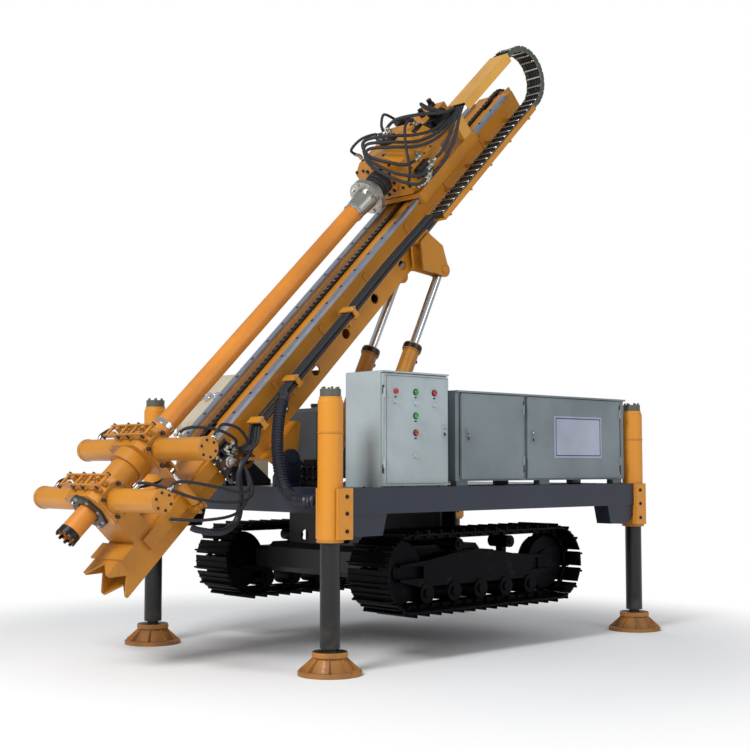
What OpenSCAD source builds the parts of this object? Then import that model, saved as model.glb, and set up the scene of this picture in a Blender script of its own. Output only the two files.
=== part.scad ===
// Tracked anchor drilling rig standing on its four jacks, mast raised.
// Millimetres. +Z is up, the drill end faces -Y and the machine's left side is +X.
// The origin is on the ground, in the middle of the machine's length and width.

/* [Jacks] */
// Distance from the deck's end to the jack's axis
bracket_reach = 104; // [98:1:140]
// Distance between the left and right jack axes
jack_span_x = 2052; // [2020:1:2200]
// Radius of the inner jack tube
leg_r = 66; // [55:1:72]
// Outer radius of the jack sleeve
sleeve_r = 84; // [80:1:95]
// Height of the sleeve's lower end over the ground
sleeve_bottom = 850; // [780:5:900]
// Height of the sleeve's upper end over the ground
sleeve_top = 1805; // [1700:5:1900]
// How far a jack can be drawn up from where it stands
jack_retract = 450; // [300:10:500]
// Radius of the foot plate
foot_r = 210; // [180:5:230]
// Thickness of the foot plate
foot_t = 30; // [20:1:40]
// Height of the foot's cone and collar over the ground
foot_h = 150; // [130:5:170]
// Radius of the foot's collar
collar_r = 118; // [100:1:130]

/* [Deck] */
// Length of the deck
deck_len = 3140; // [3100:5:3160]
// Width of the deck
deck_w = 2220; // [2200:5:2240]
// Height of the deck's top face
deck_top = 1205; // [1190:5:1230]
// Height of the deck's side beams
deck_depth = 175; // [150:5:190]
// Thickness of the deck's top plate
deck_plate_t = 10; // [6:1:14]
// Wall of the deck's beams
deck_wall = 12; // [8:1:16]

/* [Tracks] */
// Length over the track's grousers
track_len = 2150; // [2050:10:2250]
// Height over the track's grousers
track_h = 595; // [570:5:620]
// Width of the track shoes
track_w = 400; // [300:10:420]
// Height of the tracks' lowest edge over the ground
track_lift = 310; // [280:5:320]
// Distance from the middle plane to a track's outer edge
track_outer = 1100; // [1080:5:1110]
// Place of the tracks' middle along the machine
track_y = -175; // [-250:5:-100]
// Number of shoes on a track
shoes = 40; // [36:1:44]
// Height of a grouser over its shoe
grouser_h = 25; // [15:1:30]

/* [Mast] */
// Slope of the mast over the ground
mast_angle = 44.5; // [40:0.5:50]
// Place of the tilt pivot along the machine
pivot_y = -1400; // [-1420:5:-1390]
// Height of the tilt pivot over the ground
pivot_z = 1400; // [1390:5:1440]
// Radius of the tilt pin
pivot_r = 35; // [25:1:45]
// Width of the mast beam
beam_w = 380; // [360:5:390]
// Distance of the beam's back from the tilt pin
beam_back = 320; // [310:5:330]
// Depth of the mast beam
beam_d = 180; // [160:5:200]
// Wall of the mast beam
beam_wall = 10; // [8:1:12]
// Beam's upper end along the mast, from the tilt pin
beam_end = 4050; // [3950:10:4150]
// Beam's lower end along the mast, from the tilt pin
beam_start = -383; // [-450:1:-350]
// Width of a guide rail
rail_w = 65; // [50:1:70]
// Thickness of a guide rail
rail_t = 25; // [20:1:30]
// Distance of a rail's outer edge from the middle
rail_out = 215; // [205:1:225]
// Distance of the drill axis from the tilt pin
drill_h = 775; // [760:5:800]

/* [Claw foot] */
// Width of the claw tube
claw_w = 300; // [260:5:320]
// Depth of the claw tube
claw_d = 220; // [200:5:240]
// Wall of the claw tube
claw_wall = 14; // [10:1:18]
// Claw's lower end along the mast
claw_end = -1526; // [-1560:1:-1500]
// Depth of the notches in the claw's end
claw_notch = 95; // [60:5:110]

/* [Cradle] */
// Upper end of the cradle along the mast
cradle_top = 2400; // [2350:10:2500]
// Lower end of the cradle along the mast
cradle_bottom = -130; // [-150:5:-110]
// Distance of the cradle's back from the tilt pin
cradle_back = 130; // [125:1:135]
// Thickness of the cradle's plates
cradle_t = 16; // [12:1:18]
// Running gap between the keel and the cradle
slide_gap = 6; // [5:0.5:7]
// Half width of the keel flange that the cradle holds
keel_half = 130; // [120:1:140]
// Thickness of the keel flange
keel_t = 15; // [12:1:16]
// Depth of the keel behind the beam
keel_d = 35; // [34:1:38]
// Thickness of the cradle's lips over the keel flange
lip_t = 8; // [6:1:9]
// Travel of the mast down its cradle
slide_down = 600; // [400:10:650]
// Travel of the mast up its cradle
slide_up = 150; // [100:10:160]

/* [Lift cylinders] */
// Distance of a lift cylinder from the middle
lift_x = 240; // [236:1:246]
// Place of the base pin along the machine
lift_base_y = -600; // [-650:5:-550]
// Height of the base pin
lift_base_z = 1300; // [1290:5:1320]
// Place of the rod's eye along the mast
lift_eye_z = 2197; // [2150:1:2250]
// Distance of the rod's eye behind the tilt pin
lift_eye_back = 25; // [15:1:40]
// Radius of the barrel
lift_barrel_r = 65; // [55:1:70]
// Length of the barrel from its pin
lift_barrel_len = 1109; // [1090:1:1125]
// Radius of the rod
lift_rod_r = 35; // [28:1:35]
// Radius of the eyes
eye_r = 52; // [48:1:60]
// Width of the eyes
eye_w = 70; // [60:1:76]
// Radius of the cylinder pins
pin_r = 24; // [20:1:28]

/* [Clamps] */
// Place of the front clamp along the mast
front_clamp_z = -1171; // [-1200:1:-1150]
// Place of the rear clamp along the mast
rear_clamp_z = -703; // [-720:1:-690]
// Half width of a clamp's body
clamp_half = 190; // [180:5:200]
// Length of a clamp's body along the mast
clamp_len = 200; // [180:5:210]
// Half height of a clamp's body
clamp_rise = 135; // [125:5:145]
// Distance from the drill axis to a clamp cylinder's end
clamp_reach = 740; // [700:5:780]
// Radius of a clamp cylinder
clamp_cyl_r = 76; // [70:1:80]
// Radius of the hole through a clamp
clamp_bore_r = 86; // [84:1:90]
// Height and length of a jaw
jaw_size = 110; // [90:5:120]
// Gap between an open jaw and the drill string
jaw_gap = 8; // [7:0.5:10]
// How far a jaw opens
jaw_open = 20; // [10:1:25]

/* [Drill string] */
// Radius of the drill string
string_r = 71; // [66:1:72]
// Lower end of the drill string along the mast
bit_z = -1508; // [-1530:1:-1490]
// Radius of the bit's teeth circle
bit_r = 73; // [71:0.5:74]
// Place of the spindle flange along the mast
flange_z = 2158; // [2140:1:2180]
// Radius of the spindle flange
flange_r = 150; // [140:1:165]
// Thickness of the spindle flange
flange_w = 44; // [36:1:50]
// Number of bolts in the spindle flange
flange_bolts = 8; // [6:1:12]
// Radius of the flange's bolt holes
flange_hole_r = 9; // [7:0.5:11]

/* [Feed head] */
// Lower end of the head's carriage
carriage_z = 2440; // [2420:5:2480]
// Length of the head's carriage
carriage_len = 900; // [850:10:950]
// Thickness of the carriage plate
carriage_t = 40; // [30:1:45]
// Running gap between the carriage and the rails
carriage_gap = 5; // [5:0.5:7]
// Lower face of the gearbox along the mast
gearbox_z = 2420; // [2400:5:2450]
// Length of the gearbox
gearbox_len = 500; // [450:10:550]
// Width of the gearbox
gearbox_w = 500; // [440:10:540]
// Height of the gearbox
gearbox_h = 370; // [330:10:380]

/* [Energy chain] */
// Inner side of the energy chain
chain_x = 285; // [280:1:290]
// Width of the energy chain
chain_w = 165; // [150:1:175]
// Depth of a chain link
link_h = 50; // [40:1:55]
// Bending radius of the chain's middle line
chain_bend = 245; // [230:5:260]
// Distance of the chain's lower run from the tilt pin
chain_low = 372; // [365:1:380]
// Middle of the chain's bend along the mast
chain_top = 3990; // [3950:5:4020]
// Lower end of the chain's tray along the mast
tray_start = 2347; // [2300:5:2400]
// Upper end of the chain's tray
tray_end = 3920; // [3880:5:3940]
// Thickness of the tray's sheet
tray_t = 6; // [4:1:8]
// Lower end of the chain's moving run
chain_tail = 3190; // [3150:5:3230]

/* [Control box] */
// Width of the control box's door side
box_len = 647; // [600:1:660]
// Depth of the control box
box_depth = 375; // [350:1:400]
// Height of the control box
box_h = 795; // [760:1:820]
// Front face of the control box along the machine
box_y = -1245; // [-1260:1:-1230]
// Outer face of the control box
box_outer = 1075; // [1060:1:1090]
// Thickness of the sheet boxes' walls
sheet_t = 4; // [2:0.5:6]
// Thickness of the doors
door_t = 20; // [14:1:25]
// Gap round a door
door_gap = 6; // [5:0.5:8]

/* [Power cabinet] */
// Front face of the power cabinet along the machine
cab_y = -480; // [-500:1:-460]
// Length of the power cabinet
cab_len = 2030; // [1960:1:2040]
// Depth of the power cabinet
cab_depth = 520; // [480:1:525]
// Height of the power cabinet's feet
cab_foot = 35; // [25:1:45]
// Height of the power cabinet's body
cab_h = 655; // [630:1:680]
// Outer face of the power cabinet
cab_outer = 1050; // [1040:1:1070]
// Width of the cabinet's front door
cab_door_1 = 690; // [640:1:700]
// Width of the cabinet's rear door
cab_door_2 = 1170; // [1100:1:1180]

/* [Hidden] */
$fn = 48;

// Place of the machine's middle between the jacks, so that the origin is in the middle of its length
front_y = pivot_y - (drill_h + bit_r) * sin(mast_angle) + bit_z * cos(mast_angle);
jack_span_y = deck_len + 2 * bracket_reach;
rear_y = jack_span_y / 2 + foot_r;
machine_y = -(front_y + rear_y) / 2;

// Clearance of pins and rods in their bores, and of pieces that rest on each other
running_gap = 0.3;
beam_top = beam_back + beam_d;
rail_top = beam_top + rail_t;
deck_bottom = deck_top - deck_depth;
track_z = track_lift + track_h / 2;
chain_high = chain_low + 2 * chain_bend;
lift_eye = [
  lift_eye_back * sin(mast_angle) + lift_eye_z * cos(mast_angle) + pivot_y,
  -lift_eye_back * cos(mast_angle) + lift_eye_z * sin(mast_angle) + pivot_z
];
lift_run = [lift_eye[0] - lift_base_y, lift_eye[1] - lift_base_z];
lift_len = norm(lift_run);
lift_lean = atan2(lift_run[0], lift_run[1]);

yellow = [0.93, 0.55, 0.09];
navy = [0.13, 0.17, 0.26];
dark = [0.09, 0.09, 0.10];
steel = [0.62, 0.64, 0.67];
chrome = [0.80, 0.81, 0.83];
pale_grey = [0.72, 0.75, 0.76];
blue_grey = [0.45, 0.49, 0.55];
cream = [0.82, 0.78, 0.68];

// Shared helpers
module on_machine() translate([0, machine_y, 0]) children();
module on_mast() on_machine() translate([0, pivot_y, pivot_z]) rotate([mast_angle - 90, 0, 0]) children();
module on_drill(z = 0) on_mast() translate([0, -drill_h, z]) children();
module left_and_right() { children(); mirror([1, 0, 0]) children(); }

// A plate whose outline is drawn in the Y-Z plane, from x0 to x1
module plate_x(x0, x1) translate([x0, 0, 0]) rotate([90, 0, 90]) linear_extrude(x1 - x0) children();

// A box in the mast's frame: across, out from the tilt pin, along the mast
module bar(x, h, z) translate([x[0], -h[1], z[0]]) cube([x[1] - x[0], h[1] - h[0], z[1] - z[0]]);

// A bar with its two long edges cut off at 45 degrees, drawn across X
module cut_box(x, y, z, c) plate_x(x[0], x[1]) polygon([
  [y[0] + c, z[0]], [y[1] - c, z[0]], [y[1], z[0] + c], [y[1], z[1] - c],
  [y[1] - c, z[1]], [y[0] + c, z[1]], [y[0], z[1] - c], [y[0], z[0] + c]]);

module rod_x(x0, x1, r) translate([x0, 0, 0]) rotate([0, 90, 0]) cylinder(r = r, h = x1 - x0);

// Points of a smooth curve through hand-picked points
function spline_point(p, i, t) =
  let (a = p[max(i - 1, 0)], b = p[i], c = p[i + 1], d = p[min(i + 2, len(p) - 1)])
  0.5 * (2 * b + (c - a) * t + (2 * a - 5 * b + 4 * c - d) * t * t + (3 * b - a - 3 * c + d) * t * t * t);
function spline(p, k) = concat(
  [for (i = [0 : len(p) - 2]) for (j = [0 : k - 1]) spline_point(p, i, j / k)], [p[len(p) - 1]]);
function unit(v) = v / norm(v);

// A round hose swept along a smooth curve; k rings to each stretch, side is never along the hose
module hose(points, r, k = 4, side = [1, 0, 0], sides = 8) {
  path = spline(points, k);
  n = len(path);
  last = len(points) - 1;
  // both ends are square to the first and the last stretch
  tangents = [for (i = [0 : n - 1]) unit(i == 0 ? points[1] - points[0]
    : i == n - 1 ? points[last] - points[last - 1] : path[i + 1] - path[i - 1])];
  rings = [for (i = [0 : n - 1])
    let (u = unit(cross(tangents[i], side)), v = cross(tangents[i], u))
    for (j = [0 : sides - 1]) path[i] + r * (cos(360 * j / sides) * u + sin(360 * j / sides) * v)];
  faces = concat(
    [[for (j = [0 : sides - 1]) j]],
    [[for (j = [sides - 1 : -1 : 0]) (n - 1) * sides + j]],
    [for (i = [0 : n - 2]) for (j = [0 : sides - 1])
      [i * sides + j, (i + 1) * sides + j, (i + 1) * sides + (j + 1) % sides, i * sides + (j + 1)
        % sides]]);
  polyhedron(points = rings, faces = faces, convexity = 6);
}

// Point of a track's loop: s runs from 0 to 1 round it, d is the distance outside its pitch line
function loop_point(s, d, half, r) =
  let (run = 2 * half, arc = PI * r, total = 2 * run + 2 * arc, l = s * total)
  l < run ? [-half + l, r + d]
  : l < run + arc ? let (a = 90 - 180 * (l - run) / arc) [half + (r + d) * cos(a), (r + d) * sin(a)]
  : l < 2 * run + arc ? [half - (l - run - arc), -r - d]
  : let (a = 270 - 180 * (l - 2 * run - arc) / arc) [-half + (r + d) * cos(a), (r + d) * sin(a)];

// Tracks: one loop each, with the grousers in its outline
pitch_r = track_h / 2 - grouser_h - 22;
track_half = track_len / 2 - track_h / 2;
link_t = 26;
// fraction of the pitch, height over the pitch line
shoe_outline = [
  [0.00, 6], [0.05, 22], [0.12, 22 + grouser_h], [0.26, 22 + grouser_h], [0.34, 22], [0.93, 22], [0.98, 6]];

module track(side) color(dark) on_machine() translate([0, track_y, track_z])
  plate_x(side > 0 ? track_outer - track_w : -track_outer, side > 0 ? track_outer : track_w - track_outer)
    difference() {
      polygon([for (i = [0 : shoes - 1]) for (p = shoe_outline)
        loop_point((i + p[0]) / shoes, p[1], track_half, pitch_r)]);
      polygon([for (i = [0 : 79]) loop_point(i / 80, -link_t, track_half, pitch_r)]);
    }
module track_left() track(1);
module track_right() track(-1);

// Track frames with sprocket, idler, bottom rollers and top rollers
wheel_in = pitch_r - link_t - 2;
roller_r = 70;
// y place, height, radius of each roller
roller_table = [
  [-560, -1, roller_r], [-280, -1, roller_r], [0, -1, roller_r], [280, -1, roller_r], [560, -1, roller_r],
  [-230, 1, 45], [330, 1, 45]];

module wheel_x(y, z, r, w, hub) translate([0, y, z]) union() {
  rod_x(-w / 2, w / 2, r);
  rod_x(-w / 2 - 12, w / 2 + 12, hub);
}
module sprocket_x(y, r, w, teeth) translate([0, y, 0]) plate_x(-w / 2, w / 2) union() {
  circle(r = r - 22);
  for (i = [0 : teeth - 1]) rotate(360 * i / teeth) translate([r - 30, -16]) square([24, 32]);
}
module track_frame(side) color(dark) on_machine()
  translate([side * (track_outer - track_w / 2), track_y, track_z]) {
    difference() {
      plate_x(-85, 85) polygon([
        [-track_half - 40, -60], [-620, -105], [620, -105], [track_half + 40, -60],
        [track_half + 40, 55], [420, 80], [160, 120], [-260, 120], [-520, 80], [-track_half - 40, 55]]);
      for (x = [-100, 45]) translate([x, 0, 0])
        for (y = [-track_half - 60, track_half - 190]) translate([0, y, -45]) cube([55, 250, 85]);
    }
    wheel_x(-track_half, 0, wheel_in, 60, 70);
    wheel_x(track_half, 0, wheel_in - 26, 110, 95);
    sprocket_x(track_half, wheel_in, 46, 18);
    for (t = roller_table) if (t[1] > 0) translate([-30, t[0] - 25, 60]) cube([60, 50,
      wheel_in - t[2] - 60]);
    for (t = roller_table) wheel_x(t[0], t[1] * (wheel_in - t[2]), t[2], 190, t[2] * 0.45);
  }
module track_frame_left() track_frame(1);
module track_frame_right() track_frame(-1);

// Carbody between the tracks: a welded box, its cross tubes, and the saddles that carry the deck
cross_y = [-560, 260];
car_wall = 16;
module hollow_box(x, y, z, c, wall) difference() {
  cut_box(x, y, z, c);
  cut_box([x[0] + wall, x[1] - wall], [y[0] + wall, y[1] - wall], [z[0] + wall, z[1] - wall], c);
}
module carbody() color(dark) on_machine() {
  inner = track_outer - track_w / 2 - 85;
  hollow_box([-inner + 200, inner - 200], [track_y - 700, track_y + 400], [track_z - 80,
    track_z + 150], 40, car_wall);
  for (y = cross_y) left_and_right() difference() {
    cut_box([inner - 200, inner], [track_y + y - 110, track_y + y + 110], [track_z - 60,
      track_z + 110], 30);
    cut_box([inner - 201, inner - car_wall], [track_y + y - 94, track_y + y + 94], [track_z - 44,
      track_z + 94], 24);
  }
  // saddles: two plates and a cap each
  for (y = cross_y) {
    for (d = [-90, 74]) translate([-420, track_y + y + d, track_z + 150]) difference() {
      cube([840, car_wall, deck_bottom - track_z - 166]);
      for (x = [180, 420, 660]) translate([x, -1, 60]) rotate([-90, 0, 0]) cylinder(r = 45,
        h = car_wall + 2);
    }
    translate([-440, track_y + y - 130, deck_bottom - 16]) cube([880, 260, 16]);
  }
}

// Deck: channel side beams, cross beams with a flange, and a top plate
deck_cross = [-1300, -735, 85, 850];
deck_end = deck_len / 2;
module cross_beam(y, side) {
  z = deck_bottom;
  translate([-deck_w / 2 + 110, y - deck_wall / 2, z]) cube([deck_w - 220, deck_wall,
    deck_depth - deck_plate_t]);
  translate([-deck_w / 2 + 110, y + (side - 2) * 35, z]) cube([deck_w - 220, 70, deck_wall]);
}
module deck_frame() color(navy) on_machine() {
  hw = deck_w / 2;
  translate([-hw, -deck_end, deck_top - deck_plate_t]) cube([deck_w, deck_len, deck_plate_t]);
  left_and_right() difference() {
    translate([hw - 110, -deck_end, deck_bottom]) cube([110, deck_len, deck_depth - deck_plate_t]);
    translate([hw - 111, -deck_end + deck_wall, deck_bottom + deck_wall])
      cube([111 - deck_wall, deck_len - 2 * deck_wall, deck_depth - deck_plate_t - deck_wall]);
  }
  cross_beam(-deck_end + deck_wall / 2, 2);
  cross_beam(deck_end - deck_wall / 2, 0);
  for (y = deck_cross) cross_beam(y, 1);
  // stowage blocks under the four corners
  left_and_right() for (m = [0, 1]) mirror([0, m, 0]) difference() {
    plate_x(hw - 150, hw - 10) polygon([
      [deck_end - 340, deck_bottom], [deck_end - 300, deck_bottom - 146], [deck_end - 60,
        deck_bottom - 146],
      [deck_end, deck_bottom - 90], [deck_end, deck_bottom]]);
    plate_x(hw - 151, hw - 10 - deck_wall) polygon([
      [deck_end - 318, deck_bottom - 20], [deck_end - 290, deck_bottom - 134], [deck_end - 66,
        deck_bottom - 134],
      [deck_end - 12, deck_bottom - 84], [deck_end - 12, deck_bottom - 20]]);
  }
}

// Jack sleeves with their brackets and end caps
cap_r = 70;
cap_h = 50;
bracket_t = 26;
module jack_places() for (sx = [-1, 1]) for (sy = [-1, 1])
  translate([sx * jack_span_x / 2, sy * jack_span_y / 2, 0]) rotate(sy > 0 ? 0 : 180) children();
module jack_sleeves() on_machine() jack_places() {
  color(yellow) difference() {
    union() {
      translate([0, 0, sleeve_bottom]) cylinder(r = sleeve_r, h = sleeve_top - sleeve_bottom - 30);
      translate([0, 0, sleeve_top - 30]) cylinder(r1 = sleeve_r, r2 = sleeve_r - 8, h = 12);
      translate([0, 0, sleeve_top - 18]) cylinder(r = sleeve_r - 8, h = 18);
      // bolted channel bracket against the deck's end
      translate([-sleeve_r - 26, -bracket_reach, 870]) cube([2 * sleeve_r + 52, bracket_t, deck_top - 870]);
      for (x = [-sleeve_r - 26, sleeve_r + 10]) translate([x, -bracket_reach, 870]) cube([16,
        bracket_reach + 30, deck_top - 870]);
      for (z = [870, deck_top - 14]) translate([-sleeve_r - 12, -bracket_reach, z])
        cube([2 * sleeve_r + 24, bracket_reach - 10, 14]);
    }
    translate([0, 0, sleeve_bottom - 1]) cylinder(r = leg_r + 2, h = sleeve_top - sleeve_bottom - 29);
  }
  color(dark) translate([0, 0, sleeve_top]) cylinder(r = cap_r, h = cap_h);
  color(dark) for (a = [30 : 60 : 330]) rotate(a) translate([cap_r - 16, 0, sleeve_top + cap_h])
    cylinder(r = 9, h = 15, $fn = 6);
}

// Jack legs with their feet
leg_wall = 14;
leg_top = sleeve_top - 30 - jack_retract - 20;
module jack_leg(sx, sy) on_machine() translate([sx * jack_span_x / 2, sy * jack_span_y / 2, 0]) {
  color(dark) {
    difference() {
      translate([0, 0, foot_h + 20]) cylinder(r = leg_r, h = leg_top - foot_h - 20);
      translate([0, 0, foot_h + 50]) cylinder(r = leg_r - leg_wall, h = leg_top - foot_h);
    }
    translate([0, 0, foot_h]) cylinder(r = leg_r * 0.62, h = 20);
  }
  color(yellow) {
    rotate_extrude() polygon([
      [0, 0], [foot_r, 0], [foot_r, foot_t - 6], [foot_r - 6, foot_t], [collar_r + 40, foot_t],
      [collar_r - 14, foot_h - 35], [collar_r, foot_h - 35], [collar_r, foot_h - 5],
      [collar_r - 5, foot_h], [0, foot_h]]);
    for (a = [0 : 45 : 315]) rotate(a) translate([0, 6, 0]) rotate([90, 0, 0]) linear_extrude(12)
      polygon([[collar_r - 30, foot_t - 1], [foot_r - 12, foot_t - 1], [foot_r - 12, foot_t + 8],
        [collar_r - 8, foot_h - 36], [collar_r - 30, foot_h - 36]]);
  }
}
module jack_leg_front_left() jack_leg(1, -1);
module jack_leg_front_right() jack_leg(-1, -1);
module jack_leg_rear_left() jack_leg(1, 1);
module jack_leg_rear_right() jack_leg(-1, 1);

// Pivot base: two cheeks with the tilt pins, and the lift cylinders' clevises
cheek_x = 275;
cheek_t = 30;
module pivot_base() color(navy) on_machine() {
  left_and_right() {
    plate_x(cheek_x, cheek_x + cheek_t) union() {
      polygon([[-1555, deck_top], [-1130, deck_top], [-1130, deck_top + 40],
        [pivot_y + 68, pivot_z], [pivot_y - 68, pivot_z], [-1555, deck_top + 70]]);
      translate([pivot_y, pivot_z]) circle(r = 70);
    }
    translate([cheek_x + cheek_t, -1500, deck_top]) cube([90, 340, 16]);
    translate([cheek_x + cheek_t, -1330, deck_top + 16]) plate_x(0, 90) square([14, 60]);
    translate([0, pivot_y, pivot_z]) rod_x(cheek_x - 60, cheek_x + cheek_t + 22, pivot_r);
    // clevis of a lift cylinder
    for (x = [lift_x - eye_w / 2 - eye_gap - lug_t, lift_x + eye_w / 2 + eye_gap]) plate_x(x,
      x + lug_t) union() {
      polygon([[lift_base_y - 70, deck_top], [lift_base_y + 70, deck_top],
        [lift_base_y + eye_r, lift_base_z], [lift_base_y - eye_r, lift_base_z]]);
      translate([lift_base_y, lift_base_z]) circle(r = eye_r);
    }
    translate([lift_x, lift_base_y, lift_base_z]) rod_x(-eye_w / 2 - 36, eye_w / 2 + 36, pin_r);
  }
}

// Sheet box, open on its +X side, with a lip round the opening
module sheet_box(x, y, z, lip) difference() {
  translate([x[0], y[0], z[0]]) cube([x[1] - x[0], y[1] - y[0], z[1] - z[0]]);
  translate([x[0] + sheet_t, y[0] + sheet_t, z[0] + sheet_t])
    cube([x[1] - x[0] - 2 * sheet_t, y[1] - y[0] - 2 * sheet_t, z[1] - z[0] - 2 * sheet_t]);
  translate([x[1] - sheet_t - 1, y[0] + lip, z[0] + lip])
    cube([sheet_t + 2, y[1] - y[0] - 2 * lip, z[1] - z[0] - 2 * lip]);
}
box_in = box_outer - door_t - 1;
box_lip = 35;
module control_box() color(pale_grey) on_machine() {
  sheet_box([box_outer - box_depth, box_in], [box_y, box_y + box_len], [deck_top, deck_top + box_h],
    box_lip);
  // rain lip over the door
  translate([box_in, box_y, deck_top + box_h - 12]) cube([door_t + 6, box_len, 12]);
}
hinge_r = 9;
// Door leaf with folded rim, hinge barrels and a lock; y0 to y1, z0 to z1, hinge at hinge_y
module door_leaf(x, y, z, hinge_y, lock_y, lock_z) {
  difference() {
    translate([x, y[0], z[0]]) cube([door_t, y[1] - y[0], z[1] - z[0]]);
    translate([x - 1, y[0] + 14, z[0] + 14]) cube([door_t - 3, y[1] - y[0] - 28, z[1] - z[0] - 28]);
  }
  for (k = [0.16, 0.78]) translate([x + door_t + hinge_r * 0.4, hinge_y, z[0] + k * (z[1] - z[0])])
    cylinder(r = hinge_r, h = 70);
  translate([x + door_t, lock_y - 18, lock_z - 45]) cube([8, 36, 90]);
  translate([x + door_t + 8, lock_y, lock_z]) rod_x(0, 10, 13);
}
box_door_y = [box_y + 8, box_y + box_len - 8];
box_door_z = [deck_top + 8, deck_top + box_h - 18];
// y place, z place over the deck, radius of each push button or lamp
box_buttons = [[-1125, 585, 17], [-930, 578, 17], [-745, 572, 17], [-930, 370, 15], [-930, 215, 17]];
module control_box_door() color(pale_grey) on_machine() {
  door_leaf(box_in + 0.6, box_door_y, box_door_z, box_y + 12, box_y + box_len - 50, deck_top + 390);
  for (b = box_buttons) translate([box_in + door_t + 0.6, b[0], deck_top + b[1]]) rod_x(0, 16, b[2]);
}

cab_z = deck_top + cab_foot;
cab_in = cab_outer - door_t - 1;
cab_lip = 40;
cab_split = cab_y + 45 + cab_door_1;
module power_cabinet() color(blue_grey) on_machine() {
  difference() {
    sheet_box([cab_outer - cab_depth, cab_in], [cab_y, cab_y + cab_len], [cab_z, cab_z + cab_h], cab_lip);
    // louvres in the inner side
    for (y = [150 : 170 : cab_len - 200]) for (z = [180 : 60 : 480])
      translate([cab_outer - cab_depth - 1, cab_y + y, cab_z + z]) cube([sheet_t + 2, 120, 14]);
  }
  translate([cab_in - sheet_t, cab_split + 6, cab_z + cab_lip - 2]) cube([sheet_t, 40,
    cab_h - 2 * cab_lip + 4]);
  translate([cab_in, cab_y, cab_z + cab_h - 14]) cube([door_t + 6, cab_len, 14]);
  for (y = [cab_y + 20, cab_y + cab_len / 2 - 60, cab_y + cab_len - 140])
    for (x = [cab_outer - cab_depth + 10, cab_in - 70]) translate([x, y, deck_top]) cube([60, 120,
      cab_foot]);
}
cab_door_z = [cab_z + 14, cab_z + cab_h - 20];
module cabinet_door_front() color(blue_grey) on_machine()
  door_leaf(cab_in + 0.6, [cab_y + 45, cab_split], cab_door_z, cab_split - 3, cab_y + 110, cab_z + 330);
module cabinet_door_rear() color(blue_grey) on_machine()
  door_leaf(cab_in + 0.6, [cab_split + door_gap + 40, cab_split + door_gap + 40 + cab_door_2], cab_door_z,
    cab_split + door_gap + 37 + cab_door_2, cab_split + door_gap + 100, cab_z + 330);

// Electric motor and pump inside the cabinet
module power_pack() color(dark) on_machine() {
  x = cab_outer - cab_depth / 2 - 10;
  for (y = [cab_y + 300, cab_y + 1500]) translate([x - 150, y, cab_z + sheet_t]) cube([300, 90, 60]);
  translate([x - 150, cab_y + 250, cab_z + sheet_t + 60]) cube([300, 1400, 30]);
  translate([x, cab_y + 300, cab_z + 280]) rotate([-90, 0, 0]) union() {
    cylinder(r = 190, h = 680);
    translate([0, 0, 680]) cylinder(r = 110, h = 140);
    translate([-90, -90, 820]) cube([180, 180, 420]);
  }
}

// Operator's console on the far front corner, with a sloped gauge panel
con_x = [-1090, -560];
module console_shape(c) polygon([
  [-1430 + c, deck_top + c], [-930 - c, deck_top + c], [-930 - c, 2070 - c], [-1110 + c / 2, 2070 - c],
  [-1430 + c, 1690 - c / 2]]);
module operator_console() on_machine() {
  color(cream) difference() {
    plate_x(con_x[0], con_x[1]) console_shape(0);
    plate_x(con_x[0] + sheet_t, con_x[1] - sheet_t) console_shape(sheet_t);
    translate([con_x[0] + 60, -940, deck_top + 80]) cube([con_x[1] - con_x[0] - 120, 20, 620]);
  }
  // gauges in the sloped face, and the lever bank under them
  color(dark) for (x = [con_x[0] + 100 : 110 : con_x[1] - 90]) translate([x, -1270, 1880])
    rotate([49.9, 0, 0]) cylinder(r = 38, h = 22);
  color(dark) for (x = [con_x[0] + 90 : 60 : con_x[1] - 80]) translate([x, -1422, 1560]) rotate([70, 0,
    0]) {
    cylinder(r = 7, h = 90);
    translate([0, 0, 90]) sphere(r = 15, $fn = 16);
  }
}

// Oil tank along the far side
tank_x = [-1060, -620];
tank_y = [-380, 780];
module oil_tank() color(blue_grey) on_machine() {
  hollow_box(tank_x, tank_y, [deck_top + 40, deck_top + 620], 30, 5);
  for (y = [tank_y[0] + 60, tank_y[1] - 180]) translate([tank_x[0] + 30, y, deck_top]) cube([380, 120, 40]);
  translate([-840, tank_y[0] + 200, deck_top + 620]) cylinder(r = 55, h = 45);
  translate([-840, tank_y[1] - 250, deck_top + 620]) cylinder(r = 110, h = 20);
  translate([-840, tank_y[1] - 250, deck_top + 640]) cylinder(r = 60, h = 70);
}

// Control valve blocks on the deck's front, under the mast
valve_x = 430;
valve_pitch = 62;
valve_count = 4;
module valve_bank() color(steel) on_machine() {
  for (k = [0 : valve_count - 1]) translate([valve_x + k * valve_pitch, -1400, deck_top]) {
    cube([valve_pitch - 10, 150, 190]);
    for (z = [60, 130]) translate([valve_pitch / 2 - 5, 0, z]) rotate([90, 0, 0]) cylinder(r = 13, h = 45);
  }
  translate([valve_x - 5, -1420, deck_top]) cube([valve_count * valve_pitch, 30, 40]);
}

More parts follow.
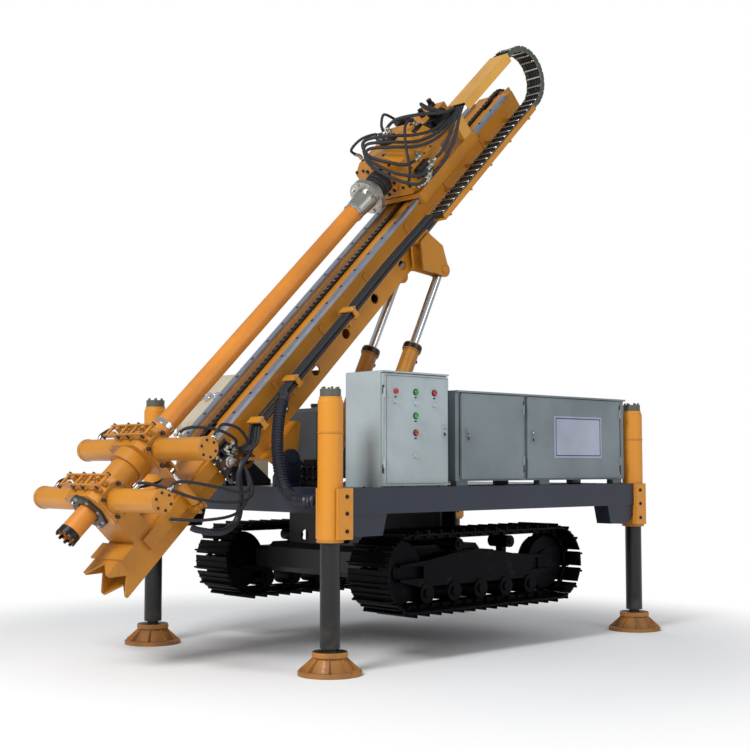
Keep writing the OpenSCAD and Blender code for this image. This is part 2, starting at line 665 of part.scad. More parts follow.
// Cradle: a narrow trough whose pads carry the mast's keel and whose lips hold it down
keel_back = beam_back - keel_d;
cradle_in = keel_half + slide_gap;
cradle_out = cradle_in + cradle_t;
cradle_front = keel_back + keel_t + slide_gap + lip_t;
lug_t = 18;
bridge_h = [292, 308];
hose_x = 300;
hose_bed = 372;
strap_h = 57;
bracket_places = [-60, 377, 1138];
module cradle() color(yellow) on_mast() {
  z = [cradle_bottom, cradle_top];
  difference() {
    bar([-cradle_out, cradle_out], [cradle_back, cradle_back + cradle_t], z);
    for (k = [0 : 3]) bar([-70, 70], [cradle_back - 1, cradle_back + cradle_t + 1],
      [cradle_bottom + 420 + k * 520, cradle_bottom + 700 + k * 520]);
  }
  // cross member that carries the tilt lugs
  bar([-cheek_x + slide_gap, cheek_x - slide_gap], [cradle_back - 20, cradle_back], [cradle_bottom,
    cradle_bottom + 390]);
  left_and_right() {
    difference() {
      bar([cradle_in, cradle_out], [cradle_back + cradle_t, cradle_front], z);
      for (k = [1 : 5]) translate([cradle_in - 1, -(cradle_back + cradle_front) / 2,
        cradle_bottom + k * 420])
        rod_x(0, cradle_t + 2, 40);
    }
    bar([keel_half - 24, cradle_in], [cradle_front - lip_t, cradle_front], z);
    for (k = [0 : 5]) let (p = cradle_bottom + 20 + k * (cradle_top - cradle_bottom - 160) / 5)
      bar([keel_half - 40, cradle_in], [cradle_back + cradle_t, keel_back - running_gap], [p, p + 120]);
    // tilt lugs
    plate_x(cheek_x - slide_gap - 40, cheek_x - slide_gap) difference() {
      union() {
        circle(r = 72);
        polygon([[20 - cradle_back, cradle_bottom], [20 - cradle_back, 260], [60, 45], [60, -45], [-40,
          -110]]);
      }
      circle(r = pivot_r + running_gap);
    }
    // rod eye lugs of the lift cylinders, with their pin heads, carried by a bridge over the eye
    for (x = [[lift_x - eye_w / 2 - eye_gap - lug_t, -lug_t], [lift_x + eye_w / 2 + eye_gap, lug_t]]) {
      plate_x(x[0], x[0] + lug_t) union() {
        translate([lift_eye_back, lift_eye_z]) circle(r = eye_r + 6);
        polygon([[-bridge_h[1], lift_eye_z + 60], [-cradle_back, lift_eye_z + 120],
          [lift_eye_back, lift_eye_z + eye_r], [lift_eye_back + 40, lift_eye_z - 30],
          [-cradle_back, lift_eye_z - 190], [-bridge_h[1], lift_eye_z - 60]]);
      }
      translate([0, lift_eye_back, lift_eye_z]) rod_x(x[0] + min(x[1] * 0.6, 0),
        x[0] + lug_t + max(x[1] * 0.6, 0), pin_r + 8);
    }
    bar([cradle_in, lift_x + eye_w / 2 + eye_gap + lug_t], bridge_h, [lift_eye_z - 60, lift_eye_z + 60]);
    bar([cradle_in, lift_x - eye_w / 2 - eye_gap], [cradle_back, cradle_back + cradle_t],
      [lift_eye_z - 190, lift_eye_z + 120]);
  }
  // hose brackets on the near side: an arm, an upright and a bed with a strap over it
  for (p = bracket_places) {
    bar([cradle_out, hose_x - 38], [cradle_front - 28, cradle_front - 12], [p - 20, p + 20]);
    bar([hose_x - 50, hose_x - 38], [cradle_front - 28, hose_bed + strap_h + 2], [p - 20, p + 20]);
    bar([hose_x - 50, hose_x + 90], [hose_bed - 10, hose_bed], [p - 30, p + 30]);
    bar([hose_x - 50, hose_x + 90], [hose_bed + strap_h, hose_bed + strap_h + 10], [p - 30, p + 30]);
    bar([hose_x + 80, hose_x + 90], [hose_bed, hose_bed + strap_h], [p - 20, p + 20]);
  }
}

// Cylinder that slides the mast in its cradle: barrel on the keel, rod on the cradle
slide_h = (cradle_back + cradle_t + keel_back) / 2;
slide_r = (keel_back - cradle_back - cradle_t) / 2 - 5;
slide_rod_r = 30;
slide_barrel_z = [1500, 3028];
slide_base_z = 150;
module slide_barrel() color(dark) on_mast() difference() {
  union() {
    translate([0, -slide_h, slide_barrel_z[0]]) cylinder(r = slide_r,
      h = slide_barrel_z[1] - slide_barrel_z[0]);
    bar([-40, 40], [slide_h, keel_back], [slide_barrel_z[1] - 90, slide_barrel_z[1] - 10]);
  }
  translate([0, -slide_h, slide_barrel_z[0] - 1]) cylinder(r = slide_rod_r + running_gap, h = 61);
  translate([0, -slide_h, slide_barrel_z[0] + 60]) cylinder(r = slide_r - 14,
    h = slide_barrel_z[1] - slide_barrel_z[0] - 110);
}
module slide_rod() color(chrome) on_mast() {
  translate([0, -slide_h, slide_base_z]) cylinder(r = slide_rod_r,
    h = slide_barrel_z[0] + slide_up + 80 - slide_base_z);
  bar([-45, 45], [cradle_back + cradle_t, slide_h + 40], [slide_base_z - 80, slide_base_z]);
}

// Lift cylinders, leaning between the deck and the cradle
lift_rod_len = 1270;
lift_bore = 88;
lift_neck = 60;
gland_len = 60;
piston_len = 40;
eye_gap = 6;
module on_lift(side) on_machine() translate([side * lift_x, lift_base_y, lift_base_z])
  rotate([-lift_lean, 0, 0]) children();
module lift_barrel(side) color(yellow) on_lift(side) difference() {
  union() {
    rod_x(-eye_w / 2, eye_w / 2, eye_r);
    cylinder(r = eye_w / 2 - 1, h = lift_neck + 1);
    translate([0, 0, lift_neck]) cylinder(r = lift_barrel_r, h = lift_barrel_len - lift_neck);
    translate([0, 0, lift_barrel_len - gland_len]) cylinder(r = lift_barrel_r + 7, h = gland_len);
  }
  rod_x(-eye_w, eye_w, pin_r + running_gap);
  translate([0, 0, lift_bore]) cylinder(r = lift_rod_r + 14, h = lift_barrel_len - lift_bore - gland_len);
  translate([0, 0, lift_bore]) cylinder(r = lift_rod_r + running_gap, h = lift_barrel_len);
}
module lift_rod(side) color(chrome) on_lift(side) {
  translate([0, 0, lift_len]) rod_x(-eye_w / 2, eye_w / 2, eye_r);
  translate([0, 0, lift_len - lift_rod_len]) cylinder(r = lift_rod_r, h = lift_rod_len - eye_r + 12);
  translate([0, 0, lift_len - lift_rod_len]) cylinder(r = lift_rod_r + 12, h = piston_len);
}
module lift_barrel_left() lift_barrel(1);
module lift_barrel_right() lift_barrel(-1);
module lift_rod_left() lift_rod(1);
module lift_rod_right() lift_rod(-1);

// Mast beam: a welded box with guide flanges along its back
module mast_beam() color(yellow) on_mast() {
  z = [beam_start, beam_end];
  difference() {
    bar([-beam_w / 2, beam_w / 2], [beam_back, beam_top], z);
    bar([-beam_w / 2 + beam_wall, beam_w / 2 - beam_wall], [beam_back + beam_wall, beam_top - beam_wall],
      [beam_start - 1, beam_end + 1]);
    for (zz = [[beam_start - 1, beam_start + 230], [beam_end - 230, beam_end + 1]])
      bar([-45, 45], [beam_top - beam_wall - 1, beam_top + 1], zz);
  }
  left_and_right() {
    bar([keel_half - 44, keel_half - 30], [keel_back, beam_back], [cradle_bottom - 190, beam_end - 60]);
    for (p = [300 : 620 : 3900]) bar([beam_w / 2, beam_w / 2 + 8], [beam_back + 14, beam_top - 40], [p,
      p + 40]);
  }
  bar([-keel_half, keel_half], [keel_back, keel_back + keel_t], [cradle_bottom - 190, beam_end - 60]);
}
module guide_rails() color(steel) on_mast() left_and_right() difference() {
  bar([rail_out - rail_w, rail_out], [beam_top, rail_top], [beam_start + 50, beam_end - 100]);
  for (p = [beam_start + 110 : 200 : beam_end - 130]) translate([rail_out - rail_w + 22, -rail_top - 1, p])
    rotate([-90, 0, 0]) cylinder(r = 8, h = 13, $fn = 20);
}

// Feed chain: one loop over the bottom and top sprockets
feed_r = 80;
feed_mid = beam_top + 12 - feed_r;
feed_z = [beam_start + 120, beam_end + 60];
feed_links = 184;
function upright(p) = [-p[1], p[0]];
module feed_chain() color(dark) on_mast() translate([0, -feed_mid, (feed_z[0] + feed_z[1]) / 2]) {
  half = (feed_z[1] - feed_z[0]) / 2;
  plate_x(-22, 22) difference() {
    polygon([for (i = [0 : feed_links - 1]) for (p = [[0.1, 3], [0.5, 10]])
      upright(loop_point((i + p[0]) / feed_links, p[1], half, feed_r))]);
    polygon(concat([for (a = [0 : 15 : 180]) [(feed_r - 10) * cos(a), half + (feed_r - 10) * sin(a)]],
      [for (a = [180 : 15 : 360]) [(feed_r - 10) * cos(a), -half + (feed_r - 10) * sin(a)]]));
  }
}

// Mast head: cheeks and shaft of the top sprocket
module mast_head() color(yellow) on_mast() {
  left_and_right() {
    plate_x(70, 84) polygon([[-beam_back, beam_end], [-beam_top, beam_end], [-feed_mid - 60,
      feed_z[1] + 70],
      [-feed_mid + 60, feed_z[1] + 70]]);
    bar([84, beam_w / 2], [beam_back, beam_top], [beam_end, beam_end + 16]);
  }
  translate([0, -feed_mid, feed_z[1]]) {
    rod_x(-100, 100, 22);
    rod_x(-18, 18, feed_r - 14);
  }
}

// Claw foot: a square tube whose end is notched between four pointed corners
module claw_foot() color(yellow) on_mast() {
  mid = beam_back + claw_d / 2 - 90;
  difference() {
    bar([-claw_w / 2, claw_w / 2], [mid - claw_d / 2, mid + claw_d / 2], [claw_end, beam_start]);
    bar([-claw_w / 2 + claw_wall, claw_w / 2 - claw_wall],
      [mid - claw_d / 2 + claw_wall, mid + claw_d / 2 - claw_wall], [claw_end - 1, beam_start + 1]);
    // notches in the four walls
    translate([-claw_w, -mid, claw_end]) plate_x(0, 2 * claw_w)
      polygon([[-claw_d / 2 + 25, -1], [0, claw_notch], [claw_d / 2 - 25, -1]]);
    translate([0, claw_d - mid, claw_end]) rotate([90, 0, 0]) linear_extrude(2 * claw_d)
      polygon([[-claw_w / 2 + 25, -1], [0, claw_notch], [claw_w / 2 - 25, -1]]);
  }
  // lip over the claw and the side plates that join it to the beam
  bar([-claw_w / 2 - 40, claw_w / 2 + 40], [mid + claw_d / 2, mid + claw_d / 2 + 14], [claw_end + 120,
    claw_end + 250]);
  left_and_right() bar([claw_w / 2, beam_w / 2 - beam_wall], [beam_back + beam_wall, mid + claw_d / 2 - 20],
    [claw_end + 330, beam_start + 60]);
  // clevis of the breakout cylinder
  for (p = breakout_lugs) bar([claw_w / 2, breakout_x + 34], [breakout_low - 34, breakout_low + 34],
    [breakout_z + p, breakout_z + p + 14]);
  translate([breakout_x, -breakout_low, breakout_z - 46]) cylinder(r = breakout_pin_r, h = 92);
}

// A clamp: body, flanged side cylinders and the hinged link frame on top
piston_r = 46;
link_out = 250;
module clamp_body() difference() {
  union() {
    translate([0, 0, -clamp_len / 2]) linear_extrude(clamp_len) polygon([
      [-clamp_half, -clamp_rise + 60], [-clamp_half + 60, -clamp_rise], [clamp_half - 60, -clamp_rise],
      [clamp_half, -clamp_rise + 60], [clamp_half, clamp_rise - 30], [clamp_half - 30, clamp_rise],
      [-clamp_half + 30, clamp_rise], [-clamp_half, clamp_rise - 30]]);
    left_and_right() {
      translate([clamp_half, -95, -95]) cube([24, 190, 190]);
      rod_x(clamp_half + 24, clamp_reach, clamp_cyl_r);
      for (a = [-1, 1]) for (b = [-1, 1]) translate([0, a * 76, b * 76])
        rod_x(clamp_half + 24, clamp_half + 44, 12);
    }
    // link frame on two posts
    for (z = [-52, 38]) translate([-link_out, -clamp_rise - 52, z]) cube([2 * link_out, 26, 14]);
    left_and_right() {
      for (x = [link_out - 16, 60]) translate([x, -clamp_rise - 39, -60]) cylinder(r = 11, h = 120);
      for (z = [-35, 13]) translate([clamp_half - 55, -clamp_rise - 50, z]) cube([40, 80, 22]);
    }
  }
  translate([0, 0, -clamp_len]) cylinder(r = clamp_bore_r, h = 2 * clamp_len);
  // guide for the jaws
  translate([-clamp_half - 25, -jaw_size / 2 - 5, -jaw_size / 2 - 5])
    cube([2 * clamp_half + 50, jaw_size + 10, jaw_size + 10]);
  rod_x(-clamp_reach + 30, clamp_reach - 30, piston_r + running_gap);
}
journal_r = clamp_bore_r + 18;
module front_clamp() color(yellow) on_drill(front_clamp_z) {
  clamp_body();
  // journal that the rear clamp turns on
  translate([0, 0, clamp_len / 2]) difference() {
    cylinder(r = journal_r, h = rear_clamp_z - front_clamp_z - clamp_len - 6);
    translate([0, 0, -1]) cylinder(r = clamp_bore_r, h = rear_clamp_z - front_clamp_z);
  }
  // pedestal down to the claw tube
  front = beam_back + claw_d - 90;
  translate([0, 0, -clamp_len / 2 + 20]) linear_extrude(clamp_len - 40) polygon([
    [-clamp_half + 30, clamp_rise], [clamp_half - 30, clamp_rise], [claw_w / 2, drill_h - front],
    [-claw_w / 2, drill_h - front]]);
}
module rear_clamp() color(yellow) on_drill(rear_clamp_z) difference() {
  union() {
    clamp_body();
    translate([0, 0, -clamp_len / 2 - 90]) cylinder(r = journal_r + 26, h = 90);
    // lugs for the breakout cylinder's rod
    for (p = breakout_lugs) translate([clamp_half - 70, drill_h - breakout_high - 50,
      breakout_z - rear_clamp_z + p])
      cube([breakout_x + 34 - clamp_half + 70, 84, 14]);
  }
  translate([0, 0, -clamp_len / 2 - 91]) cylinder(r = journal_r + running_gap, h = 91);
}
module jaw(z, side) color(dark) on_drill(z) mirror([side > 0 ? 0 : 1, 0, 0]) difference() {
  union() {
    translate([string_r - 8, -jaw_size / 2, -jaw_size / 2]) cube([70, jaw_size, jaw_size]);
    rod_x(string_r + 60, 360, piston_r);
  }
  translate([0, 0, -jaw_size]) cylinder(r = string_r + jaw_gap, h = 2 * jaw_size);
}
module front_jaw_left() jaw(front_clamp_z, 1);
module front_jaw_right() jaw(front_clamp_z, -1);
module rear_jaw_left() jaw(rear_clamp_z, 1);
module rear_jaw_right() jaw(rear_clamp_z, -1);

// Breakout cylinder on the near side, from the claw's clevis to the rear clamp's lugs
breakout_x = 235;
breakout_low = 300;
breakout_high = 635;
breakout_z = rear_clamp_z - 60;
breakout_lugs = [-36, 22];
breakout_pin_r = 16;
breakout_rod_r = 17;
module breakout_barrel() color(yellow) on_mast() translate([breakout_x, -breakout_low, breakout_z])
  difference() {
  union() {
    translate([0, 0, -17]) cylinder(r = 31, h = 34);
    rotate([90, 0, 0]) translate([0, 0, 24]) cylinder(r = 17, h = 20);
    rotate([90, 0, 0]) translate([0, 0, 42]) cylinder(r = 38, h = 168);
  }
  translate([0, 0, -18]) cylinder(r = breakout_pin_r + running_gap, h = 36);
  rotate([90, 0, 0]) translate([0, 0, 60]) cylinder(r = breakout_rod_r + running_gap, h = 200);
}
module breakout_rod() color(chrome) on_mast() translate([breakout_x, -breakout_high, breakout_z]) {
  translate([0, 0, -16]) cylinder(r = 30, h = 32);
  rotate([-90, 0, 0]) cylinder(r = breakout_rod_r, h = 200);
}

// Energy chain: tray, links with bars, and the hoses in it
tray_x = [chain_x - tray_t - 2, chain_x + chain_w + tray_t + 2];
module chain_tray() color(yellow) on_mast() {
  h0 = chain_low - link_h / 2 - tray_t - 0.5;
  z = [tray_start, tray_end];
  bar(tray_x, [h0, h0 + tray_t], z);
  for (x = [tray_x[0], tray_x[1] - tray_t]) bar([x, x + tray_t], [h0 + tray_t, h0 + tray_t + 40], z);
  for (p = [tray_start + 76 : 340 : tray_end - 60]) {
    bar([beam_w / 2, tray_x[0]], [cradle_front + 40, h0 + tray_t + 36], [p, p + 12]);
    bar([tray_x[0] - 1, tray_x[1]], [h0 - 14, h0], [p, p + 12]);
  }
}
chain_run = [tray_start + 20, chain_top];
chain_back_run = chain_top - chain_tail;
// Outline of a band that follows the chain, from d0 to d1 outside its middle line
function chain_line(d) = concat(
  [[-chain_low + d, chain_run[0]]],
  [for (a = [0 : 15 : 180]) [-chain_low - chain_bend + (chain_bend + d) * cos(a),
    chain_top + (chain_bend + d) * sin(a)]],
  [[-chain_high - d, chain_tail]]);
function backwards(p) = [for (i = [len(p) - 1 : -1 : 0]) p[i]];
module chain_band(d0, d1) polygon(concat(chain_line(d0), backwards(chain_line(d1))));
chain_pitch = 80;
band_half = link_h / 2 - 8 - running_gap;
chain_len = chain_run[1] - chain_run[0] + PI * chain_bend + chain_back_run;
chain_links = floor(chain_len / chain_pitch);
// Place and slope of the chain at length s
function chain_place(s) =
  let (a = chain_run[1] - chain_run[0], b = PI * chain_bend)
  s < a ? [-chain_low, chain_run[0] + s, 0]
  : s < a + b ? let (t = 180 * (s - a) / b)
      [-chain_low - chain_bend + chain_bend * cos(t), chain_top + chain_bend * sin(t), t]
  : [-chain_high, chain_top - (s - a - b), 180];
module energy_chain() color(steel) on_mast() {
  for (x = [chain_x, chain_x + chain_w - 12]) plate_x(x, x + 12) chain_band(-link_h / 2, link_h / 2);
  for (x = [28, 68, 108]) plate_x(chain_x + x, chain_x + x + 26) chain_band(-band_half, band_half);
  for (i = [0 : chain_links - 1]) let (q = chain_place((i + 0.5) * chain_pitch))
    translate([chain_x + 12, q[0], q[1]]) rotate([q[2], 0, 0])
      for (d = [-link_h / 2, link_h / 2 - 8]) translate([0, d, -9]) cube([chain_w - 24, 8, 18]);
}

// Carriage of the feed head, hooked round the rails
module carriage() color(yellow) on_mast() {
  z = [carriage_z, carriage_z + carriage_len];
  h = rail_top + carriage_gap;
  bar([-rail_out - 40, rail_out + 40], [h, h + carriage_t], z);
  left_and_right() {
    bar([rail_out + carriage_gap, rail_out + 40], [beam_top - 30, h], z);
    bar([beam_w / 2 + carriage_gap, rail_out + 40], [beam_top - 30, beam_top - carriage_gap], z);
  }
  // feet under the gearbox
  for (p = [carriage_z + 40, carriage_z + 330]) bar([-200, 200], [h + carriage_t,
    drill_h - gearbox_h / 2], [p, p + 110]);
}
spindle_r = 66;
module gearbox() color(yellow) on_drill(gearbox_z) {
  w = gearbox_w / 2;
  g = gearbox_h / 2;
  difference() {
    union() {
      linear_extrude(gearbox_len) polygon([
        [-w, -g + 90], [-w + 110, -g], [w - 110, -g], [w, -g + 90], [w, g - 40], [w - 40, g], [-w + 40,
          g], [-w, g - 40]]);
      translate([0, 0, -30]) cylinder(r = 150, h = 30);
      translate([-w - 16, -20, 60]) cube([2 * w + 32, 50, gearbox_len - 120]);
    }
    translate([0, 0, -31]) cylinder(r = spindle_r + running_gap, h = 80);
  }
  // bearing housing behind the gearbox
  translate([-130, -110, gearbox_len]) cube([260, 230, 420]);
}
module head_motors() on_drill(gearbox_z) {
  color(dark) for (k = [0 : 2]) translate([20, -110, gearbox_len + 90 + 145 * k]) rotate([90, 0, 0]) {
    cylinder(r = 30, h = 30);
    translate([0, 0, 30]) cylinder(r = 22, h = 40);
  }
  color(yellow) for (x = [-192, 192]) translate([x, -80, gearbox_len]) {
    cylinder(r = 60, h = 40);
    translate([0, 0, 40]) cylinder(r = 52, h = 230);
  }
  color(steel) translate([210, -125, gearbox_len + 60]) cube([60, 90, 120]);
}
// Arm and cover that hold the chain's moving end
arm_h = chain_high + link_h / 2 + running_gap;
module chain_arm() color(yellow) on_mast() {
  z = [chain_tail, chain_tail + 740];
  bar([chain_x - 14, chain_x + chain_w + 14], [arm_h, arm_h + 6], z);
  for (x = [chain_x - 14, chain_x + chain_w + 8]) bar([x, x + 6], [arm_h - 70, arm_h], z);
  bar([200, chain_x - 8], [arm_h - 110, arm_h - 60], [chain_tail, chain_tail + 120]);
  bar([200, 255], [rail_top + carriage_gap + carriage_t, arm_h - 60], [chain_tail, chain_tail + 120]);
}

// Hoses along the mast's near side, lying in the brackets' beds
mast_hose_r = 14;
// how far across and how far out each hose lies
mast_hose_table = [[-14, 0], [18, 0], [50, 0], [-14, 28.3], [18, 28.3], [50, 28.3]];
module mast_hoses() color(dark) on_mast() for (t = mast_hose_table) {
  bed = hose_bed + mast_hose_r + running_gap + t[1];
  hose([[hose_x + 20 + t[0], -bed, 2330], [hose_x + 12 + t[0], -bed, 2150],
    [hose_x + t[0], -bed - 6, 1700], [hose_x + t[0], -bed, 1138], [hose_x + t[0], -bed, 760],
    [hose_x + t[0], -bed, 377], [hose_x + t[0], -bed, 300]], mast_hose_r, k = 3);
}

// Corrugated conduit from the mast down in front of the deck, in one hanging bend
conduit_r = 36;
module conduit() color(dark) on_machine() hose([
  [325, -1480, 1890], [350, -1520, 1840], [390, -1590, 1700], [430, -1640, 1500], [470, -1650, 1320],
  [530, -1650, 1190], [620, -1650, 1125], [700, -1658, 1110], [770, -1655, 1114], [800, -1630, 1118],
    [800, -1600, 1118],
  [800, -deck_end - running_gap, 1118]],
  conduit_r, side = [0.2, 1, -0.6]);

// Hoses from the energy chain's moving end to the feed head
head_hose_r = 13;
head_hose_table = [
  [[gearbox_w / 2 + 16 + running_gap, -760, 2560], [340, -760, 2560], [392, -830, 2720], [395, -880,
    2920], [370, -866, 3080], [360, -862, 3186]],
  [[320, -862, 3186], [330, -900, 3050], [300, -1010, 2850], [180, -1060, 2680], [80, -1030, 2590],
    [80, -961, 2590]]];
module head_hoses() color(dark) on_mast() for (p = head_hose_table) hose(p, head_hose_r, side = [0.3,
  1, -0.4]);

// Spindle with its bolted flange, and the drill string below it
module spindle_flange() color(steel) on_drill(0) difference() {
  union() {
    translate([0, 0, flange_z]) cylinder(r = flange_r, h = flange_w);
    translate([0, 0, flange_z + flange_w]) cylinder(r = 96, h = 60);
    translate([0, 0, flange_z + flange_w + 60]) cylinder(r = spindle_r,
      h = gearbox_z - flange_z - flange_w - 20);
    translate([0, 0, flange_z - 190]) cylinder(r1 = string_r + 4, r2 = 92, h = 190);
  }
  for (a = [0 : 360 / flange_bolts : 359]) rotate(a) translate([flange_r - 26, 0, flange_z - 1])
    cylinder(r = flange_hole_r, h = flange_w + 2);
}
module drill_string() color(yellow) on_drill(0) {
  difference() {
    union() {
      translate([0, 0, bit_z + 40]) cylinder(r = string_r, h = flange_z - 190 - bit_z - 40);
      translate([0, 0, bit_z]) cylinder(r = bit_r, h = 40);
    }
    translate([0, 0, bit_z - 1]) cylinder(r = string_r - 14, h = flange_z - bit_z - 260);
    for (a = [0 : 45 : 135]) rotate(a) translate([-bit_r - 1, -12, bit_z - 1]) cube([2 * bit_r + 2, 24,
      19]);
  }
}

carbody();
track_frame_left();
track_frame_right();
track_left();
track_right();
deck_frame();
jack_sleeves();
pivot_base();
control_box();
control_box_door();
power_cabinet();
cabinet_door_front();
cabinet_door_rear();
power_pack();
operator_console();
oil_tank();
valve_bank();
jack_leg_front_left();
jack_leg_front_right();
jack_leg_rear_left();
jack_leg_rear_right();
cradle();
slide_barrel();
slide_rod();
lift_barrel_left();
lift_barrel_right();
lift_rod_left();
lift_rod_right();
mast_beam();
guide_rails();
feed_chain();
mast_head();
claw_foot();
front_clamp();
front_jaw_left();
front_jaw_right();
rear_clamp();
rear_jaw_left();
rear_jaw_right();
breakout_barrel();
breakout_rod();
chain_tray();
energy_chain();
mast_hoses();
conduit();
carriage();
gearbox();
head_motors();
chain_arm();
head_hoses();
spindle_flange();
drill_string();
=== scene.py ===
"""Looks of a tracked anchor drilling rig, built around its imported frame."""
import logging
import math
from dataclasses import dataclass, field
from enum import Enum
from typing import Callable, Iterable, Sequence

import bpy
from mathutils import Matrix, Vector


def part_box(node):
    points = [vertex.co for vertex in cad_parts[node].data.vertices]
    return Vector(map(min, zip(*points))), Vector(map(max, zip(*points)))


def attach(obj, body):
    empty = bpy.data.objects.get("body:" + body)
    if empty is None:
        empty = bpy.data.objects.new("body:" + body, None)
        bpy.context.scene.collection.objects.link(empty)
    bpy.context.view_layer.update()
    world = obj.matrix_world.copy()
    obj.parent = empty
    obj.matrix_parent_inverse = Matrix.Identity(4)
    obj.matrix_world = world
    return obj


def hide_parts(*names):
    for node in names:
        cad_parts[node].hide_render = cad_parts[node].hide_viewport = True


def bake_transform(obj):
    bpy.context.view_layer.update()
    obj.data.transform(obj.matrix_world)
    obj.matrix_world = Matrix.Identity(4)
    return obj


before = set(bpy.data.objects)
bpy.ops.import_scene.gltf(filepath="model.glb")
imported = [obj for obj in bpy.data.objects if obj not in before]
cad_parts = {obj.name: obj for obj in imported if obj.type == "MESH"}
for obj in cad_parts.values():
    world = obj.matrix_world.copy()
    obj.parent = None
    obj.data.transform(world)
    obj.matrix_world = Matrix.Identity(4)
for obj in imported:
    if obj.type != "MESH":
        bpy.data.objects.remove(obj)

LOG = logging.getLogger("drilling_rig")
Point = tuple[float, float, float]
Colour = tuple[float, float, float]

# Metres. The machine's own frame is moved along Y to the row frame.
MACHINE_Y = 0.592976
MAST_SLOPE = math.radians(44.5)
TILT_PIN = Vector((0.0, -1.400 + MACHINE_Y, 1.400))
# From the tilt pin's plane out to the drill axis
DRILL_OUT = 0.775
# Faces that meet at less than the first are shaded smooth; edges over the second are rounded
SMOOTH_ANGLE = math.radians(38)
SHARP_ANGLE = math.radians(60)


def mast_frame() -> Matrix:
    """The mast's own frame: across, minus out, along.

    Returns:
        The matrix from that frame to the row frame.
    """
    along = Vector((0.0, math.cos(MAST_SLOPE), math.sin(MAST_SLOPE)))
    out = Vector((0.0, -math.sin(MAST_SLOPE), math.cos(MAST_SLOPE)))
    turn = Matrix(((1.0, 0.0, 0.0), tuple(-out), tuple(along))).transposed()
    return Matrix.Translation(TILT_PIN) @ turn.to_4x4()


MAST = mast_frame()
MACHINE = Matrix.Translation((0.0, MACHINE_Y, 0.0))


def on_mast(across: float, out: float, along: float) -> Vector:
    """Row-frame point of a place given in the mast's own measures."""
    return MAST @ Vector((across, -out, along))


def drill_axis(along: float) -> Point:
    """Point of the drill axis, in the mast's frame."""
    return 0.0, -DRILL_OUT, along


def around(radius: float, count: int, first: float = 0.0) -> list[tuple[float, float]]:
    """Places spread evenly on a circle.

    Args:
        radius: radius of the circle.
        count: how many.
        first: where the first stands, in degrees.

    Returns:
        The two coordinates of each.
    """
    turns = [math.radians(360 / count * k + first) for k in range(count)]
    return [(radius * math.cos(turn), radius * math.sin(turn)) for turn in turns]


def bolt_circle(radius: float, along: float, way: int, count: int, first: float = 0.0) -> list[tuple[Point, Point]]:
    """Bolt places round the drill axis.

    Args:
        radius: radius of the bolt circle.
        along: place along the mast.
        way: 1 for heads that face up the mast, -1 for down.
        count: number of bolts.
        first: where the first stands, in degrees.

    Returns:
        Each bolt's place and the direction that it faces.
    """
    return [((c, -DRILL_OUT + s, along), (0, 0, way)) for c, s in around(radius, count, first)]


def spread(first: float, last: float, pitch: float) -> list[float]:
    """Places a pitch apart, from the first to no farther than the last."""
    return [first + k * pitch for k in range(int((last - first) / pitch + 1e-4) + 1)]


# Shader language


class Shade:
    """A shader socket that takes part in Python sums."""

    def __init__(self, palette: "Nodes", socket: bpy.types.NodeSocket) -> None:
        """Keep the socket and the palette that owns it."""
        self.palette = palette
        self.socket = socket

    def _sum(self, operation: str, *values: "Shade | float") -> "Shade":
        """Add one Math node over the given values and return its result."""
        node = self.palette.node("ShaderNodeMath", {"operation": operation}, dict(enumerate(values)))
        return Shade(self.palette, node.outputs[0])

    def __add__(self, other: "Shade | float") -> "Shade":
        """Sum."""
        return self._sum("ADD", self, other)

    __radd__ = __add__

    def __sub__(self, other: "Shade | float") -> "Shade":
        """Difference."""
        return self._sum("SUBTRACT", self, other)

    def __rsub__(self, other: "Shade | float") -> "Shade":
        """Difference with the number first."""
        return self._sum("SUBTRACT", other, self)

    def __mul__(self, other: "Shade | float") -> "Shade":
        """Product."""
        return self._sum("MULTIPLY", self, other)

    __rmul__ = __mul__

    def ramp(self, low: float, high: float) -> "Shade":
        """Rise smoothly from 0 at low to 1 at high."""
        node = self.palette.node(
            "ShaderNodeMapRange", {"interpolation_type": "SMOOTHSTEP", "clamp": True},
            {"Value": self, "From Min": low, "From Max": high})
        return Shade(self.palette, node.outputs[0])


class Nodes:
    """A node tree that is filled by node type."""

    def __init__(self, tree: bpy.types.NodeTree) -> None:
        """Take a material's or a world's tree and empty it."""
        self.tree = tree
        self.tree.nodes.clear()

    def feed(self, socket: bpy.types.NodeSocket, value: object) -> None:
        """Link an input, or set its own value.

        Args:
            socket: the input.
            value: a shade, a socket, a colour or a number.
        """
        if isinstance(value, Shade):
            value = value.socket
        if isinstance(value, bpy.types.NodeSocket):
            self.tree.links.new(value, socket)
        elif socket.type == "RGBA" and len(value) == 3:
            socket.default_value = (*value, 1.0)
        else:
            socket.default_value = value

    def node(self, kind: str, settings: dict | None = None, values: dict | None = None) -> bpy.types.Node:
        """Add a node.

        Args:
            kind: the node's type.
            settings: its own settings, set first.
            values: numbers, colours or sockets for its inputs, by name or number.

        Returns:
            The new node.
        """
        node = self.tree.nodes.new(kind)
        for key, value in (settings or {}).items():
            setattr(node, key, value)
        for key, value in (values or {}).items():
            self.feed(node.inputs[key], value)
        return node


